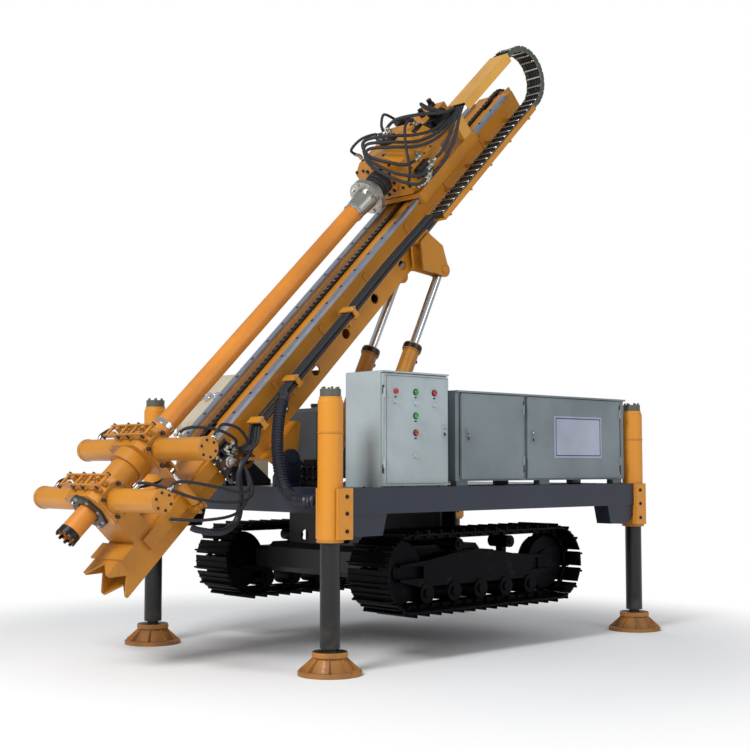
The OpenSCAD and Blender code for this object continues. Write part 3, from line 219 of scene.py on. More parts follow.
class Palette(Nodes):
    """One material and the nodes that paint it."""

    def __init__(self, name: str) -> None:
        """Start a material with a Principled shader.

        Args:
            name: the material's name.
        """
        self.material = bpy.data.materials.new(name)
        self.material.use_nodes = True
        super().__init__(self.material.node_tree)
        self.shader = self.node("ShaderNodeBsdfPrincipled")
        self.output = self.node("ShaderNodeOutputMaterial", None, {"Surface": self.shader.outputs[0]})
        self.place = self.node("ShaderNodeTexCoord").outputs["Object"]

    def stretch(self, scale: Point) -> bpy.types.NodeSocket:
        """Object coordinates scaled along the three axes."""
        return self.node("ShaderNodeMapping", None, {"Vector": self.place, "Scale": scale}).outputs[0]

    def noise(self, scale: float, detail: float = 3.0, rough: float = 0.55,
              where: bpy.types.NodeSocket | None = None) -> Shade:
        """Cloudy noise over the surface."""
        node = self.node("ShaderNodeTexNoise", None, {
            "Vector": where or self.place, "Scale": scale, "Detail": detail, "Roughness": rough})
        return Shade(self, node.outputs["Fac"])

    def axis(self, name: str) -> Shade:
        """Object coordinate along X, Y or Z."""
        return Shade(self, self.node("ShaderNodeSeparateXYZ", None, {0: self.place}).outputs[name])

    def edges(self, radius: float) -> tuple[Shade, bpy.types.NodeSocket]:
        """Mask of the rounded edges, and the rounded normal itself.

        Args:
            radius: how wide the rounding is, in metres.

        Returns:
            A mask that is 1 on sharp edges, and the Bevel node's normal.
        """
        rounded = self.node("ShaderNodeBevel", {"samples": 4}, {"Radius": radius}).outputs[0]
        flat = self.node("ShaderNodeNewGeometry").outputs["Normal"]
        dot = self.node("ShaderNodeVectorMath", {"operation": "DOT_PRODUCT"}, {0: rounded, 1: flat})
        return 1.0 - Shade(self, dot.outputs["Value"]), rounded

    def mix(self, amount: Shade | float, low: Colour | bpy.types.NodeSocket,
            high: Colour | bpy.types.NodeSocket) -> bpy.types.NodeSocket:
        """Mix two colours.

        Args:
            amount: share of the second one.
            low: the first colour.
            high: the second colour.

        Returns:
            The mixed colour's socket.
        """
        node = self.node("ShaderNodeMix", {"data_type": "RGBA"}, {"Factor": amount})
        for name, value in (("A", low), ("B", high)):
            self.feed([s for s in node.inputs if s.name == name and s.type == "RGBA"][0], value)
        return [s for s in node.outputs if s.type == "RGBA"][0]

    def bump(self, height: Shade, strength: float, depth: float,
             normal: bpy.types.NodeSocket | None = None) -> bpy.types.NodeSocket:
        """Turn a height into a normal.

        Args:
            height: the height, from 0 to 1.
            strength: how far the normal leans.
            depth: what a height of 1 stands for, in metres.
            normal: the normal to start from, if not the surface's own.

        Returns:
            The normal's socket.
        """
        values = {"Height": height, "Strength": strength, "Distance": depth}
        if normal is not None:
            values["Normal"] = normal
        return self.node("ShaderNodeBump", None, values).outputs[0]

    def coat(self, **values: object) -> bpy.types.Material:
        """Set the shader's own sockets.

        Args:
            **values: each socket's value, by its name with _ for a space.

        Returns:
            The finished material.
        """
        for name, value in values.items():
            self.feed(self.shader.inputs[name.replace("_", " ")], value)
        return self.material


# Finishes


@dataclass(frozen=True)
class Paint:
    """Sprayed machine paint with dust, streaks and worn edges."""

    name: str
    colour: Colour
    grime: Colour = (0.05, 0.035, 0.02)
    bare: Colour = (0.16, 0.13, 0.11)
    rough: float = 0.38
    wear: float = 0.5
    dirt: float = 0.5
    edge: float = 0.004

    def make(self) -> bpy.types.Material:
        """Build the material.

        Returns:
            The material, with its nodes.
        """
        p = Palette(self.name)
        edge, rounded = p.edges(self.edge)
        cloud = p.noise(1.7, 4.0)
        speck = p.noise(38.0, 5.0, 0.65)
        streak = p.noise(1.0, 4.0, 0.6, p.stretch((22.0, 22.0, 2.2)))
        chips = (edge * 9.0 + speck * 0.9 - (1.32 - 0.3 * self.wear)).ramp(0.0, 0.12)
        stain = ((streak * 0.7 + cloud * 0.6) - (0.82 - 0.14 * self.dirt)).ramp(0.0, 0.3) * self.dirt
        deep = tuple(c * 0.72 for c in self.colour)
        tone = p.mix(cloud.ramp(0.3, 0.75), self.colour, deep)
        tone = p.mix(stain * 0.75, tone, self.grime)
        tone = p.mix(chips, tone, self.bare)
        grain = p.noise(420.0, 2.0)
        rough = speck * 0.16 + (self.rough - 0.05) + stain * 0.3 + chips * 0.25
        normal = p.bump(grain * 0.5 - chips, 0.12, 0.0008, rounded)
        return p.coat(Base_Color=tone, Roughness=rough, Normal=normal, Coat_Weight=0.12, Coat_Roughness=0.2)


@dataclass(frozen=True)
class TwoPaints:
    """Two paints that meet at a height over the ground."""

    name: str
    low: Colour
    high: Colour
    height: float
    rough: float = 0.4

    def make(self) -> bpy.types.Material:
        """Build the material.

        Returns:
            The material, with its nodes.
        """
        p = Palette(self.name)
        edge, rounded = p.edges(0.004)
        above = p.axis("Z").ramp(self.height - 0.0005, self.height + 0.0005)
        speck = p.noise(46.0, 5.0, 0.65)
        soil = p.noise(6.0, 5.0, 0.6)
        dust = (soil + (0.35 - p.axis("Z")) * 1.2).ramp(0.55, 0.95) * 0.55
        tone = p.mix(above, self.low, self.high)
        tone = p.mix(dust, tone, (0.10, 0.075, 0.05))
        chips = (edge * 9.0 + speck * 0.9 - 1.16).ramp(0.0, 0.12)
        tone = p.mix(chips, tone, (0.12, 0.10, 0.09))
        rough = speck * 0.2 + (self.rough - 0.08) + dust * 0.4
        return p.coat(Base_Color=tone, Roughness=rough,
                      Normal=p.bump(speck - chips, 0.1, 0.001, rounded), Coat_Weight=0.1)


@dataclass(frozen=True)
class Metal:
    """Bare metal: turned, ground or cast."""

    name: str
    colour: Colour
    rough: float = 0.35
    stain: Colour = (0.13, 0.09, 0.06)
    dirt: float = 0.4
    grain: Point = (60.0, 60.0, 60.0)

    def make(self) -> bpy.types.Material:
        """Build the material.

        Returns:
            The material, with its nodes.
        """
        p = Palette(self.name)
        _, rounded = p.edges(0.002)
        lines = p.noise(1.0, 3.0, 0.6, p.stretch(self.grain))
        cloud = p.noise(7.0, 5.0, 0.6)
        spots = cloud.ramp(0.62 - 0.12 * self.dirt, 0.8) * self.dirt
        tone = p.mix(lines.ramp(0.25, 0.8), tuple(c * 0.82 for c in self.colour), self.colour)
        tone = p.mix(spots, tone, self.stain)
        rough = lines * 0.14 + (self.rough - 0.06) + spots * 0.35
        return p.coat(Base_Color=tone, Metallic=1.0 - spots * 0.7, Roughness=rough,
                      Normal=p.bump(lines, 0.08, 0.0006, rounded))


@dataclass(frozen=True)
class Rubber:
    """Hose cover, with dust on it."""

    name: str
    colour: Colour = (0.007, 0.008, 0.013)
    rough: float = 0.36

    def make(self) -> bpy.types.Material:
        """Build the material.

        Returns:
            The material, with its nodes.
        """
        p = Palette(self.name)
        cloth = p.noise(900.0, 1.0)
        dust = p.noise(9.0, 5.0, 0.65).ramp(0.5, 0.85) * 0.3
        tone = p.mix(dust, self.colour, (0.05, 0.045, 0.04))
        return p.coat(Base_Color=tone, Roughness=cloth * 0.1 + self.rough + dust * 0.5,
                      Normal=p.bump(cloth, 0.15, 0.0004))


@dataclass(frozen=True)
class Lamp:
    """Coloured plastic cap of a push button."""

    name: str
    colour: Colour

    def make(self) -> bpy.types.Material:
        """Build the material.

        Returns:
            The material, with its nodes.
        """
        p = Palette(self.name)
        cloud = p.noise(30.0, 2.0)
        tone = p.mix(cloud.ramp(0.3, 0.7), self.colour, tuple(c * 0.6 for c in self.colour))
        return p.coat(Base_Color=tone, Roughness=cloud * 0.1 + 0.12, Coat_Weight=0.5)


class Finish(Enum):
    """Every finish on the rig."""

    YELLOW = Paint("rig_yellow", (0.60, 0.235, 0.012), wear=0.45, dirt=0.5)
    CASING = Paint("casing_orange", (0.68, 0.235, 0.022), wear=0.25, dirt=0.35, rough=0.42)
    PALE_YELLOW = Paint("cover_yellow", (0.78, 0.40, 0.065), wear=0.2, dirt=0.2)
    DECK_BLUE = Paint("deck_blue", (0.013, 0.020, 0.041), grime=(0.035, 0.032, 0.03),
                      bare=(0.05, 0.05, 0.055), wear=0.3, dirt=0.25)
    BOX_GREY = Paint("box_grey", (0.42, 0.49, 0.51), wear=0.0, dirt=0.12, rough=0.45, edge=0.003)
    CABINET_GREY = Paint("cabinet_grey", (0.20, 0.245, 0.265), wear=0.1, dirt=0.18, rough=0.4, edge=0.003)
    TANK_GREY = Paint("tank_grey", (0.045, 0.050, 0.056), grime=(0.03, 0.028, 0.025),
                      wear=0.1, dirt=0.25, edge=0.003)
    CONSOLE_CREAM = Paint("console_cream", (0.66, 0.58, 0.44), wear=0.1, dirt=0.2)
    BLACK_PAINT = Paint("black_paint", (0.006, 0.006, 0.008), grime=(0.022, 0.018, 0.014),
                        bare=(0.06, 0.055, 0.05), wear=0.2, dirt=0.3)
    LEG = TwoPaints("leg_black_foot_yellow", (0.58, 0.215, 0.013), (0.004, 0.004, 0.005), 0.1495)
    SLEEVE = TwoPaints("sleeve_yellow_cap_black", (0.66, 0.255, 0.014), (0.09, 0.09, 0.07), 1.8050)
    IRON = Metal("track_iron", (0.009, 0.009, 0.011), 0.5, stain=(0.02, 0.017, 0.014), dirt=0.5)
    RAIL = Metal("rail_steel", (0.50, 0.56, 0.66), 0.42, dirt=0.3, grain=(90.0, 8.0, 8.0))
    STEEL = Metal("machined_steel", (0.55, 0.54, 0.50), 0.32, dirt=0.3)
    DARK_STEEL = Metal("oiled_steel", (0.05, 0.05, 0.055), 0.34, dirt=0.3)
    ZINC = Metal("zinc_fitting", (0.62, 0.62, 0.55), 0.28, dirt=0.25)
    CHAIN_GREY = Metal("chain_plate", (0.20, 0.21, 0.17), 0.42, stain=(0.02, 0.02, 0.018), dirt=0.9)
    CHROME = Metal("chrome_rod", (0.80, 0.82, 0.85), 0.09, dirt=0.05)
    HOSE = Rubber("hose_rubber")
    CONDUIT = Rubber("conduit_plastic", (0.010, 0.012, 0.022), 0.36)
    RED = Lamp("button_red", (0.55, 0.012, 0.012))
    GREEN = Lamp("button_green", (0.02, 0.40, 0.05))
    PLATE = Paint("blank_plate", (0.42, 0.45, 0.56), wear=0.0, dirt=0.1, edge=0.001)
    PLATE_RIM = Paint("plate_rim", (0.06, 0.07, 0.22), wear=0.0, dirt=0.1, edge=0.001)

    def material(self) -> bpy.types.Material:
        """The finish's material, built once."""
        found = bpy.data.materials.get(self.value.name)
        return found or self.value.make()


# Modelling


def select(*objects: bpy.types.Object) -> None:
    """Select only these objects.

    Args:
        *objects: what is selected; the last one becomes active.
    """
    bpy.ops.object.select_all(action="DESELECT")
    for piece in objects:
        piece.select_set(True)
    bpy.context.view_layer.objects.active = objects[-1]


def edit(piece: bpy.types.Object, *steps: Callable[[], object]) -> bpy.types.Object:
    """Run modelling steps in edit mode with everything selected.

    Args:
        piece: the object to edit.
        *steps: the operators, in order.

    Returns:
        The same object, in object mode.
    """
    select(piece)
    bpy.ops.object.mode_set(mode="EDIT")
    bpy.ops.mesh.select_all(action="SELECT")
    for step in steps:
        step()
    bpy.ops.object.mode_set(mode="OBJECT")
    return piece


def pick_faces(piece: bpy.types.Object, test: Callable[[Vector, Vector], bool]) -> None:
    """Select faces in edit mode.

    Args:
        piece: the object in edit mode.
        test: says of a face's centre and normal whether it is picked.
    """
    bpy.ops.object.mode_set(mode="OBJECT")
    for face in piece.data.polygons:
        face.select = test(face.center, face.normal)
    for edge in piece.data.edges:
        edge.select = False
    for vertex in piece.data.vertices:
        vertex.select = False
    for face in piece.data.polygons:
        if face.select:
            for index in face.vertices:
                piece.data.vertices[index].select = True
    bpy.ops.object.mode_set(mode="EDIT")
    bpy.ops.mesh.select_mode(type="FACE")


def upright(way: Vector) -> Matrix:
    """Matrix that turns Z to a direction."""
    return Vector((0, 0, 1)).rotation_difference(way.normalized()).to_matrix().to_4x4()


def block(size: Point, centre: Point = (0, 0, 0), bevel: float = 0.0, segments: int = 2) -> bpy.types.Object:
    """A block with its edges rounded.

    Args:
        size: lengths along X, Y and Z.
        centre: its middle.
        bevel: radius of the rounding.
        segments: steps of the rounding.

    Returns:
        The new object, unscaled.
    """
    bpy.ops.object.select_all(action="DESELECT")
    bpy.ops.mesh.primitive_cube_add(size=1.0, location=(0, 0, 0))
    piece = bpy.context.object
    piece.data.transform(Matrix.Translation(centre) @ Matrix.Diagonal((*size, 1.0)))
    if bevel > 0:
        edit(piece, lambda: bpy.ops.mesh.bevel(offset=bevel, segments=segments, affect="EDGES"))
    return piece


def rod(radius: float, low: Vector | Point, high: Vector | Point, sides: int = 24,
        bevel: float = 0.0, top: float | None = None) -> bpy.types.Object:
    """A round bar, or a cone, between two points.

    Args:
        radius: its radius at the low end.
        low: middle of one end.
        high: middle of the other end.
        sides: number of faces round it.
        bevel: radius of the rounding of its end edges.
        top: radius at the high end, if it tapers.

    Returns:
        The new object.
    """
    low, high = Vector(low), Vector(high)
    run = high - low
    bpy.ops.object.select_all(action="DESELECT")
    bpy.ops.mesh.primitive_cone_add(vertices=sides, radius1=radius, radius2=radius if top is None else top,
                                    depth=run.length, location=(0, 0, 0))
    piece = bpy.context.object
    if bevel > 0:
        edit(piece, lambda: bpy.ops.mesh.select_all(action="DESELECT"),
             lambda: bpy.ops.mesh.edges_select_sharp(sharpness=SHARP_ANGLE),
             lambda: bpy.ops.mesh.bevel(offset=bevel, segments=2, affect="EDGES"))
    piece.data.transform(Matrix.Translation((low + high) / 2) @ upright(run))
    return piece


def ring(outer: float, inner: float, low: Vector | Point, high: Vector | Point,
         sides: int = 32, bevel: float = 0.001) -> bpy.types.Object:
    """A turned ring: the ends of a round bar are inset and bridged.

    Args:
        outer: radius outside.
        inner: radius of the hole.
        low: middle of one end.
        high: middle of the other end.
        sides: number of faces round it.
        bevel: width of the chamfer on its edges.

    Returns:
        The new object.
    """
    low, high = Vector(low), Vector(high)
    run = high - low
    bpy.ops.object.select_all(action="DESELECT")
    bpy.ops.mesh.primitive_cylinder_add(vertices=sides, radius=outer, depth=run.length, end_fill_type="NGON")
    piece = bpy.context.object

    def hollow() -> None:
        """Inset the two end faces and bridge them."""
        pick_faces(piece, lambda centre, normal: abs(normal.z) > 0.9)
        bpy.ops.mesh.inset(thickness=outer - inner, use_even_offset=True)
        bpy.ops.mesh.bridge_edge_loops()
        bpy.ops.mesh.select_all(action="DESELECT")
        bpy.ops.mesh.edges_select_sharp(sharpness=SHARP_ANGLE)
        bpy.ops.mesh.bevel(offset=bevel, segments=1, affect="EDGES")

    edit(piece, hollow)
    piece.data.transform(Matrix.Translation((low + high) / 2) @ upright(run))
    return piece


def bolt(size: float, head: float | None = None, washer: bool = True) -> bpy.types.Object:
    """A hexagon bolt head on its washer, standing on the origin along Z.

    Args:
        size: thread diameter.
        head: height of the head, if not the usual one.
        washer: whether it has a washer.

    Returns:
        The new object, to be copied.
    """
    tall = head or size * 0.65
    lift = size * 0.15 if washer else 0.0
    top = rod(size * 0.95, (0, 0, lift * 0.6), (0, 0, lift + tall), sides=6)

    def crown() -> None:
        """Inset the top face and lift it a little."""
        pick_faces(top, lambda centre, normal: normal.z > 0.9)
        bpy.ops.mesh.inset(thickness=size * 0.14)
        bpy.ops.transform.translate(value=(0, 0, size * 0.05))

    edit(top, crown)
    if not washer:
        return top
    base = rod(size * 1.15, (0, 0, -0.0005), (0, 0, lift), sides=16)
    return join(top, base)


def placed(piece: bpy.types.Object, matrix: Matrix) -> bpy.types.Object:
    """Copy a piece and move the copy.

    Args:
        piece: the pattern.
        matrix: where the copy goes.

    Returns:
        The copy, with its own mesh.
    """
    twin = piece.copy()
    twin.data = piece.data.copy()
    bpy.context.scene.collection.objects.link(twin)
    twin.data.transform(matrix)
    return twin


def turned(piece: bpy.types.Object, spot: Vector | Point, facing: Vector | Point,
           twist: float = 0.0) -> bpy.types.Object:
    """Copy a piece and turn the copy's Z to face a direction.

    Args:
        piece: the pattern, standing on the origin along Z.
        spot: where the copy stands.
        facing: the direction that it faces.
        twist: its turn about that direction, in radians.

    Returns:
        The copy, with its own mesh.
    """
    return placed(piece, Matrix.Translation(spot) @ upright(Vector(facing)) @ Matrix.Rotation(twist, 4, "Z"))


def drop(*pieces: bpy.types.Object) -> None:
    """Remove patterns that were only copied from."""
    for piece in pieces:
        bpy.data.objects.remove(piece)


def join(*pieces: bpy.types.Object) -> bpy.types.Object:
    """Join pieces into one object.

    Args:
        *pieces: what is joined; the last one takes in the others.

    Returns:
        The joined object.
    """
    select(*pieces)
    if len(pieces) > 1:
        bpy.ops.object.join()
    return bpy.context.view_layer.objects.active


def even(points: Sequence[Vector], step: float) -> list[Vector]:
    """Points a fixed step apart along a line.

    Args:
        points: the line's own points.
        step: distance between the new points.

    Returns:
        The new points, from the first to the last.
    """
    spaced, left = [points[0]], step
    for low, high in zip(points, points[1:]):
        length, travel = (high - low).length, left
        while travel < length:
            spaced.append(low.lerp(high, travel / length))
            travel += step
        left = travel - length
    return spaced + [points[-1]]


def hose(path: Sequence[Vector | Point], radius: float, steps: int = 8, round_steps: int = 2,
         ribs: float = 0.0) -> bpy.types.Object:
    """A smooth hose through given points.

    Args:
        path: points in the row frame.
        radius: radius of the hose.
        steps: curve points to each stretch.
        round_steps: fineness round the hose.
        ribs: how deep its corrugations are, as a share of the radius.

    Returns:
        A mesh tube with closed ends.
    """
    points = [Vector(p) for p in path]
    fine: list[Vector] = []
    for i in range(len(points) - 1):
        a, b = points[max(i - 1, 0)], points[i]
        c, d = points[i + 1], points[min(i + 2, len(points) - 1)]
        for k in range(steps):
            t = k / steps
            fine.append(0.5 * (2 * b + (c - a) * t + (2 * a - 5 * b + 4 * c - d) * t * t
                               + (3 * b - a - 3 * c + d) * t ** 3))
    fine.append(points[-1])
    curve = bpy.data.curves.new("hose", "CURVE")
    curve.dimensions = "3D"
    curve.bevel_depth = radius
    curve.bevel_resolution = round_steps
    curve.use_fill_caps = True
    spline = curve.splines.new("POLY")
    if ribs > 0:
        fine = even(fine, radius * 0.11)
    spline.points.add(len(fine) - 1)
    for i, (knot, spot) in enumerate(zip(spline.points, fine)):
        knot.co = (*spot, 1.0)
        knot.radius = 1.0 - (ribs if i % 4 in (2, 3) else 0.0)
    piece = bpy.data.objects.new("hose", curve)
    bpy.context.scene.collection.objects.link(piece)
    select(piece)
    bpy.ops.object.convert(target="MESH")
    return bpy.context.object


@dataclass(frozen=True)
class Span:
    """Two bodies between which a flexible piece hangs, with two points along it."""

    first: str
    second: str
    start: Vector
    end: Vector


def finish(made: bpy.types.Object | Sequence[bpy.types.Object], name: str, finish_: Finish, body: str | Span,
           matrix: Matrix | None = None, replaces: Sequence[str] = (),
           smooth: bool = True) -> bpy.types.Object:
    """Put a made piece in place, paint it, and let it ride on its body or leave it fixed between two bodies.

    Args:
        made: the made object, or objects that are joined into it.
        name: its name.
        finish_: its finish.
        body: the body that it rides on, or the span between whose bodies it is left fixed.
        matrix: from the frame it was modelled in to the row frame.
        replaces: CAD nodes that it stands for.
        smooth: whether its round faces are shaded smooth.

    Returns:
        The finished piece.
    """
    piece = made if isinstance(made, bpy.types.Object) else join(*made)
    select(piece)
    bpy.ops.object.transform_apply(location=True, rotation=True, scale=True)
    if matrix is not None:
        piece.data.transform(matrix)
    if smooth:
        bpy.ops.object.shade_smooth_by_angle(angle=SMOOTH_ANGLE)
    piece.name = name
    piece.data.name = name
    piece.data.materials.clear()
    piece.data.materials.append(finish_.material())
    if isinstance(body, Span):
        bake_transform(piece)
        LOG.info("%s: %d faces between %s and %s", name, len(piece.data.polygons), body.first, body.second)
    else:
        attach(piece, body)
        LOG.info("%s: %d faces on %s", name, len(piece.data.polygons), body)
    if replaces:
        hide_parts(*replaces)
    return piece


def paint(finish_: Finish, *nodes: str) -> None:
    """Give CAD nodes a finish.

    Args:
        finish_: the finish.
        *nodes: the nodes' names.
    """
    for name in nodes:
        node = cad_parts[name]
        if not node.material_slots:
            node.data.materials.append(finish_.material())
        for place in node.material_slots:
            place.material = finish_.material()


def bolts(name: str, size: float, spots: Iterable[tuple[Vector | Point, Vector | Point]], finish_: Finish,
          body: str, matrix: Matrix | None = None) -> bpy.types.Object:
    """Copies of one bolt head as one piece.

    Args:
        name: name of the piece.
        size: thread diameter.
        spots: each bolt's place and the direction that it faces.
        finish_: the finish.
        body: the body that they ride on.
        matrix: from the places' frame to the row frame.

    Returns:
        The finished piece.
    """
    pattern = bolt(size)
    copies = [turned(pattern, spot, facing, 0.7 * i) for i, (spot, facing) in enumerate(spots)]
    drop(pattern)
    return finish(copies, name, finish_, body, matrix)


# Sub-assemblies


@dataclass
class Frame:
    """Every CAD node that stays, with its finish."""

    finishes: dict[Finish, tuple[str, ...]] = field(default_factory=lambda: {
        Finish.YELLOW: ("cradle", "mast_beam", "mast_head", "claw_foot",
                        "front_clamp", "rear_clamp", "breakout_barrel", "chain_tray", "carriage", "gearbox",
                        "lift_barrel_left", "lift_barrel_right"),
        Finish.PALE_YELLOW: ("chain_arm",),
        Finish.CASING: ("drill_string",),
        Finish.DECK_BLUE: ("deck_frame", "pivot_base"),
        Finish.BLACK_PAINT: ("carbody",),
        Finish.BOX_GREY: ("control_box", "control_box_door"),
        Finish.CABINET_GREY: ("power_cabinet", "cabinet_door_front", "cabinet_door_rear"),
        Finish.TANK_GREY: ("oil_tank",),
        Finish.CONSOLE_CREAM: ("operator_console",),
        Finish.LEG: ("jack_leg_front_left", "jack_leg_front_right", "jack_leg_rear_left", "jack_leg_rear_right"),
        Finish.SLEEVE: ("jack_sleeves",),
        Finish.IRON: ("track_frame_left", "track_frame_right", "track_left", "track_right", "power_pack"),
        Finish.RAIL: ("guide_rails",),
        Finish.DARK_STEEL: ("feed_chain", "front_jaw_left", "front_jaw_right", "rear_jaw_left",
                            "rear_jaw_right", "head_motors", "slide_barrel", "valve_bank"),
        Finish.STEEL: ("spindle_flange", "energy_chain"),
        Finish.CHROME: ("slide_rod", "lift_rod_left", "lift_rod_right", "breakout_rod"),
        Finish.HOSE: ("mast_hoses", "head_hoses"),
        Finish.CONDUIT: ("conduit",),
    })

    def dress(self) -> None:
        """Paint the nodes."""
        for finish_, nodes in self.finishes.items():
            paint(finish_, *nodes)


@dataclass
class Tracks:
    """Track chains with shoes, links and pins."""

    shoes: int = 40
    length: float = 2.150
    height: float = 0.595
    width: float = 0.400
    grouser: float = 0.025
    plate: float = 0.022
    outer: float = 1.100
    lift: float = 0.310
    middle_y: float = -0.175

    def _loop(self, share: float, radius: float, half: float) -> Matrix:
        """Place on the pitch line: Z outwards, Y along the run.

        Args:
            share: how far round, from 0 to 1.
            radius: radius of the pitch line at the wheels.
            half: half the distance between the wheels.

        Returns:
            The matrix from a shoe's own frame to the track's.
        """
        run, arc = 2 * half, math.pi * radius
        travel = share * 2 * (run + arc)
        if travel < run:
            spot, angle = (-half + travel, radius), 90.0
        elif travel < run + arc:
            angle = 90.0 - 180.0 * (travel - run) / arc
            spot = (half + radius * math.cos(math.radians(angle)), radius * math.sin(math.radians(angle)))
        elif travel < 2 * run + arc:
            spot, angle = (half - (travel - run - arc), -radius), -90.0
        else:
            angle = 270.0 - 180.0 * (travel - 2 * run - arc) / arc
            spot = (-half + radius * math.cos(math.radians(angle)), radius * math.sin(math.radians(angle)))
        return Matrix.Translation((0, spot[0], spot[1])) @ Matrix.Rotation(math.radians(angle - 90.0), 4, "X")

    def _shoe(self, pitch: float) -> bpy.types.Object:
        """One shoe: a plate with its two grousers, its links and its pin.

        Args:
            pitch: distance from one shoe to the next.

        Returns:
            The shoe, lying on the pitch line at the origin.
        """
        plate = block((self.width, pitch * 0.93, 0.014), (0, 0, 0.015), 0.002, 1)
        bars = [block((self.width, 0.014, self.grouser + 0.004),
                      (0, -pitch * 0.33, self.plate + self.grouser / 2 - 0.002), 0.003, 1),
                block((self.width - 0.02, 0.012, 0.014), (0, pitch * 0.08, 0.027), 0.002, 1)]
        links = [block((0.03, pitch * 0.99, 0.036), (side * 0.055, 0, -0.008), 0.006, 1) for side in (-1, 1)]
        pin = rod(0.016, (-0.09, pitch * 0.4, -0.008), (0.09, pitch * 0.4, -0.008), 12)
        return join(plate, *bars, *links, pin)

    def build(self, side: str) -> None:
        """Build one track from copies of its shoe.

        Args:
            side: left or right.
        """
        radius = self.height / 2 - self.grouser - self.plate
        half = self.length / 2 - self.height / 2
        pitch = (4 * half + 2 * math.pi * radius) / self.shoes
        pattern = self._shoe(pitch)
        place = Matrix.Translation(((1 if side == "left" else -1) * (self.outer - self.width / 2),
                                    self.middle_y + MACHINE_Y, self.lift + self.height / 2))
        copies = [placed(pattern, place @ self._loop((i + 0.5) / self.shoes, radius, half))
                  for i in range(self.shoes)]
        drop(pattern)
        finish(copies, f"track_chain_{side}", Finish.IRON, "base",
               replaces=(f"track_{side}",))


@dataclass
class ChainRun:
    """Steel energy chain: side links, stays and the hoses in it."""

    inner: float = 0.285
    width: float = 0.165
    link: float = 0.050
    bend: float = 0.245
    low: float = 0.372
    start: float = 2.367
    top: float = 3.990
    tail: float = 3.190
    pitch: float = 0.080
    far: float = 400.0
    hoses: tuple[tuple[float, float], ...] = (
        (0.030, 0.011), (0.058, 0.013), (0.088, 0.013), (0.116, 0.011), (0.138, 0.008))

    def _at(self, travel: float) -> Matrix:
        """Place on the chain's middle line: Z along the run, Y inwards.

        Args:
            travel: distance along the chain from its fixed end.

        Returns:
            The matrix from a link's own frame to the mast's.
        """
        run, arc = self.top - self.start, math.pi * self.bend
        if travel < run:
            return Matrix.Translation((0, -self.low, self.start + travel))
        if travel < run + arc:
            turn = math.pi * (travel - run) / arc
            return (Matrix.Translation((0, -self.low - self.bend + self.bend * math.cos(turn),
                                        self.top + self.bend * math.sin(turn)))
                    @ Matrix.Rotation(turn, 4, "X"))
        return (Matrix.Translation((0, -self.low - 2 * self.bend, self.top - (travel - run - arc)))
                @ Matrix.Rotation(math.pi, 4, "X"))

    def _plates(self) -> bpy.types.Object:
        """The two rounded side plates of a link, with their pivots.

        Returns:
            The pair, to be copied.
        """
        middle = self.inner + self.width / 2
        parts = []
        for side in (-1, 1):
            x, pivot = middle + side * (self.width / 2 - 0.006), self.pitch * 0.45
            parts.append(block((0.010, self.link, self.pitch * 0.94), (x, 0, 0), 0.004, 1))
            parts.append(rod(0.014, (x - side * 0.001, 0, pivot), (x + side * 0.0059, 0, pivot), 12))
            for out in (-1, 1):
                parts.append(block((0.0115, 0.010, 0.020), (x, out * (self.link / 2 - 0.006), 0.012), 0.002, 1))
        return join(*parts)

    def _stays(self) -> bpy.types.Object:
        """The two stays of a link, with their end screws.

        Returns:
            The pair, to be copied.
        """
        middle = self.inner + self.width / 2
        parts = []
        for out in (-1, 1):
            parts.append(block((self.width - 0.02, 0.006, 0.014), (middle, out * (self.link / 2 - 0.004), 0), 0.002, 1))
            for side in (-1, 1):
                x = middle + side * (self.width / 2 - 0.014)
                parts.append(rod(0.0045, (x, out * (self.link / 2 - 0.006), 0),
                                 (x, out * (self.link / 2 + 0.0004), 0), 8))
        return join(*parts)

    def build(self) -> None:
        """Build the fixed run, the bend and the moving run, each with its hoses."""
        run, arc = self.top - self.start, math.pi * self.bend
        whole = run + arc + self.top - self.tail
        travels = [(i + 0.5) * self.pitch for i in range(int(whole / self.pitch))]
        up = on_mast(0, 0, 1) - on_mast(0, 0, 0)
        middle = on_mast(self.inner, self.low + self.bend, self.top)
        stretches = (
            ("fixed_run", 0.0, run, 4, on_mast(0, 0, self.start), on_mast(0, 0, 2 * self.top - self.start)),
            # its ends lie far apart along the mast, either side of the bend's middle
            ("bend", run, run + arc, 14, middle - up * self.far, middle + up * self.far),
            ("moving_run", run + arc, whole, 4, on_mast(0, 0, 2 * self.top - self.tail), on_mast(0, 0, self.tail)),
        )
        patterns = self._plates(), self._stays()
        copies = {key: [[placed(pattern, self._at(travel)) for travel in travels if low <= travel < high]
                        for pattern in patterns] for key, low, high, *_ in stretches}
        drop(*patterns)
        for key, low, high, steps, start, end in stretches:
            plates, stays = copies[key]
            line = [self._at(low + (high - low) * k / steps) for k in range(steps + 1)]
            tubes = [hose([place @ Vector((self.inner + x, 0, 0)) for place in line], radius, 3)
                     for x, radius in self.hoses]
            for part, made, finish_, slot in (("plates", plates, Finish.CHAIN_GREY, "steel"),
                                              ("stays", stays, Finish.ZINC, "steel"),
                                              ("hoses", tubes, Finish.HOSE, "hose_rubber")):
                finish(made, f"chain_{part}_{key}", finish_, Span("mast", "head", start, end), MAST,
                       replaces=("energy_chain",))


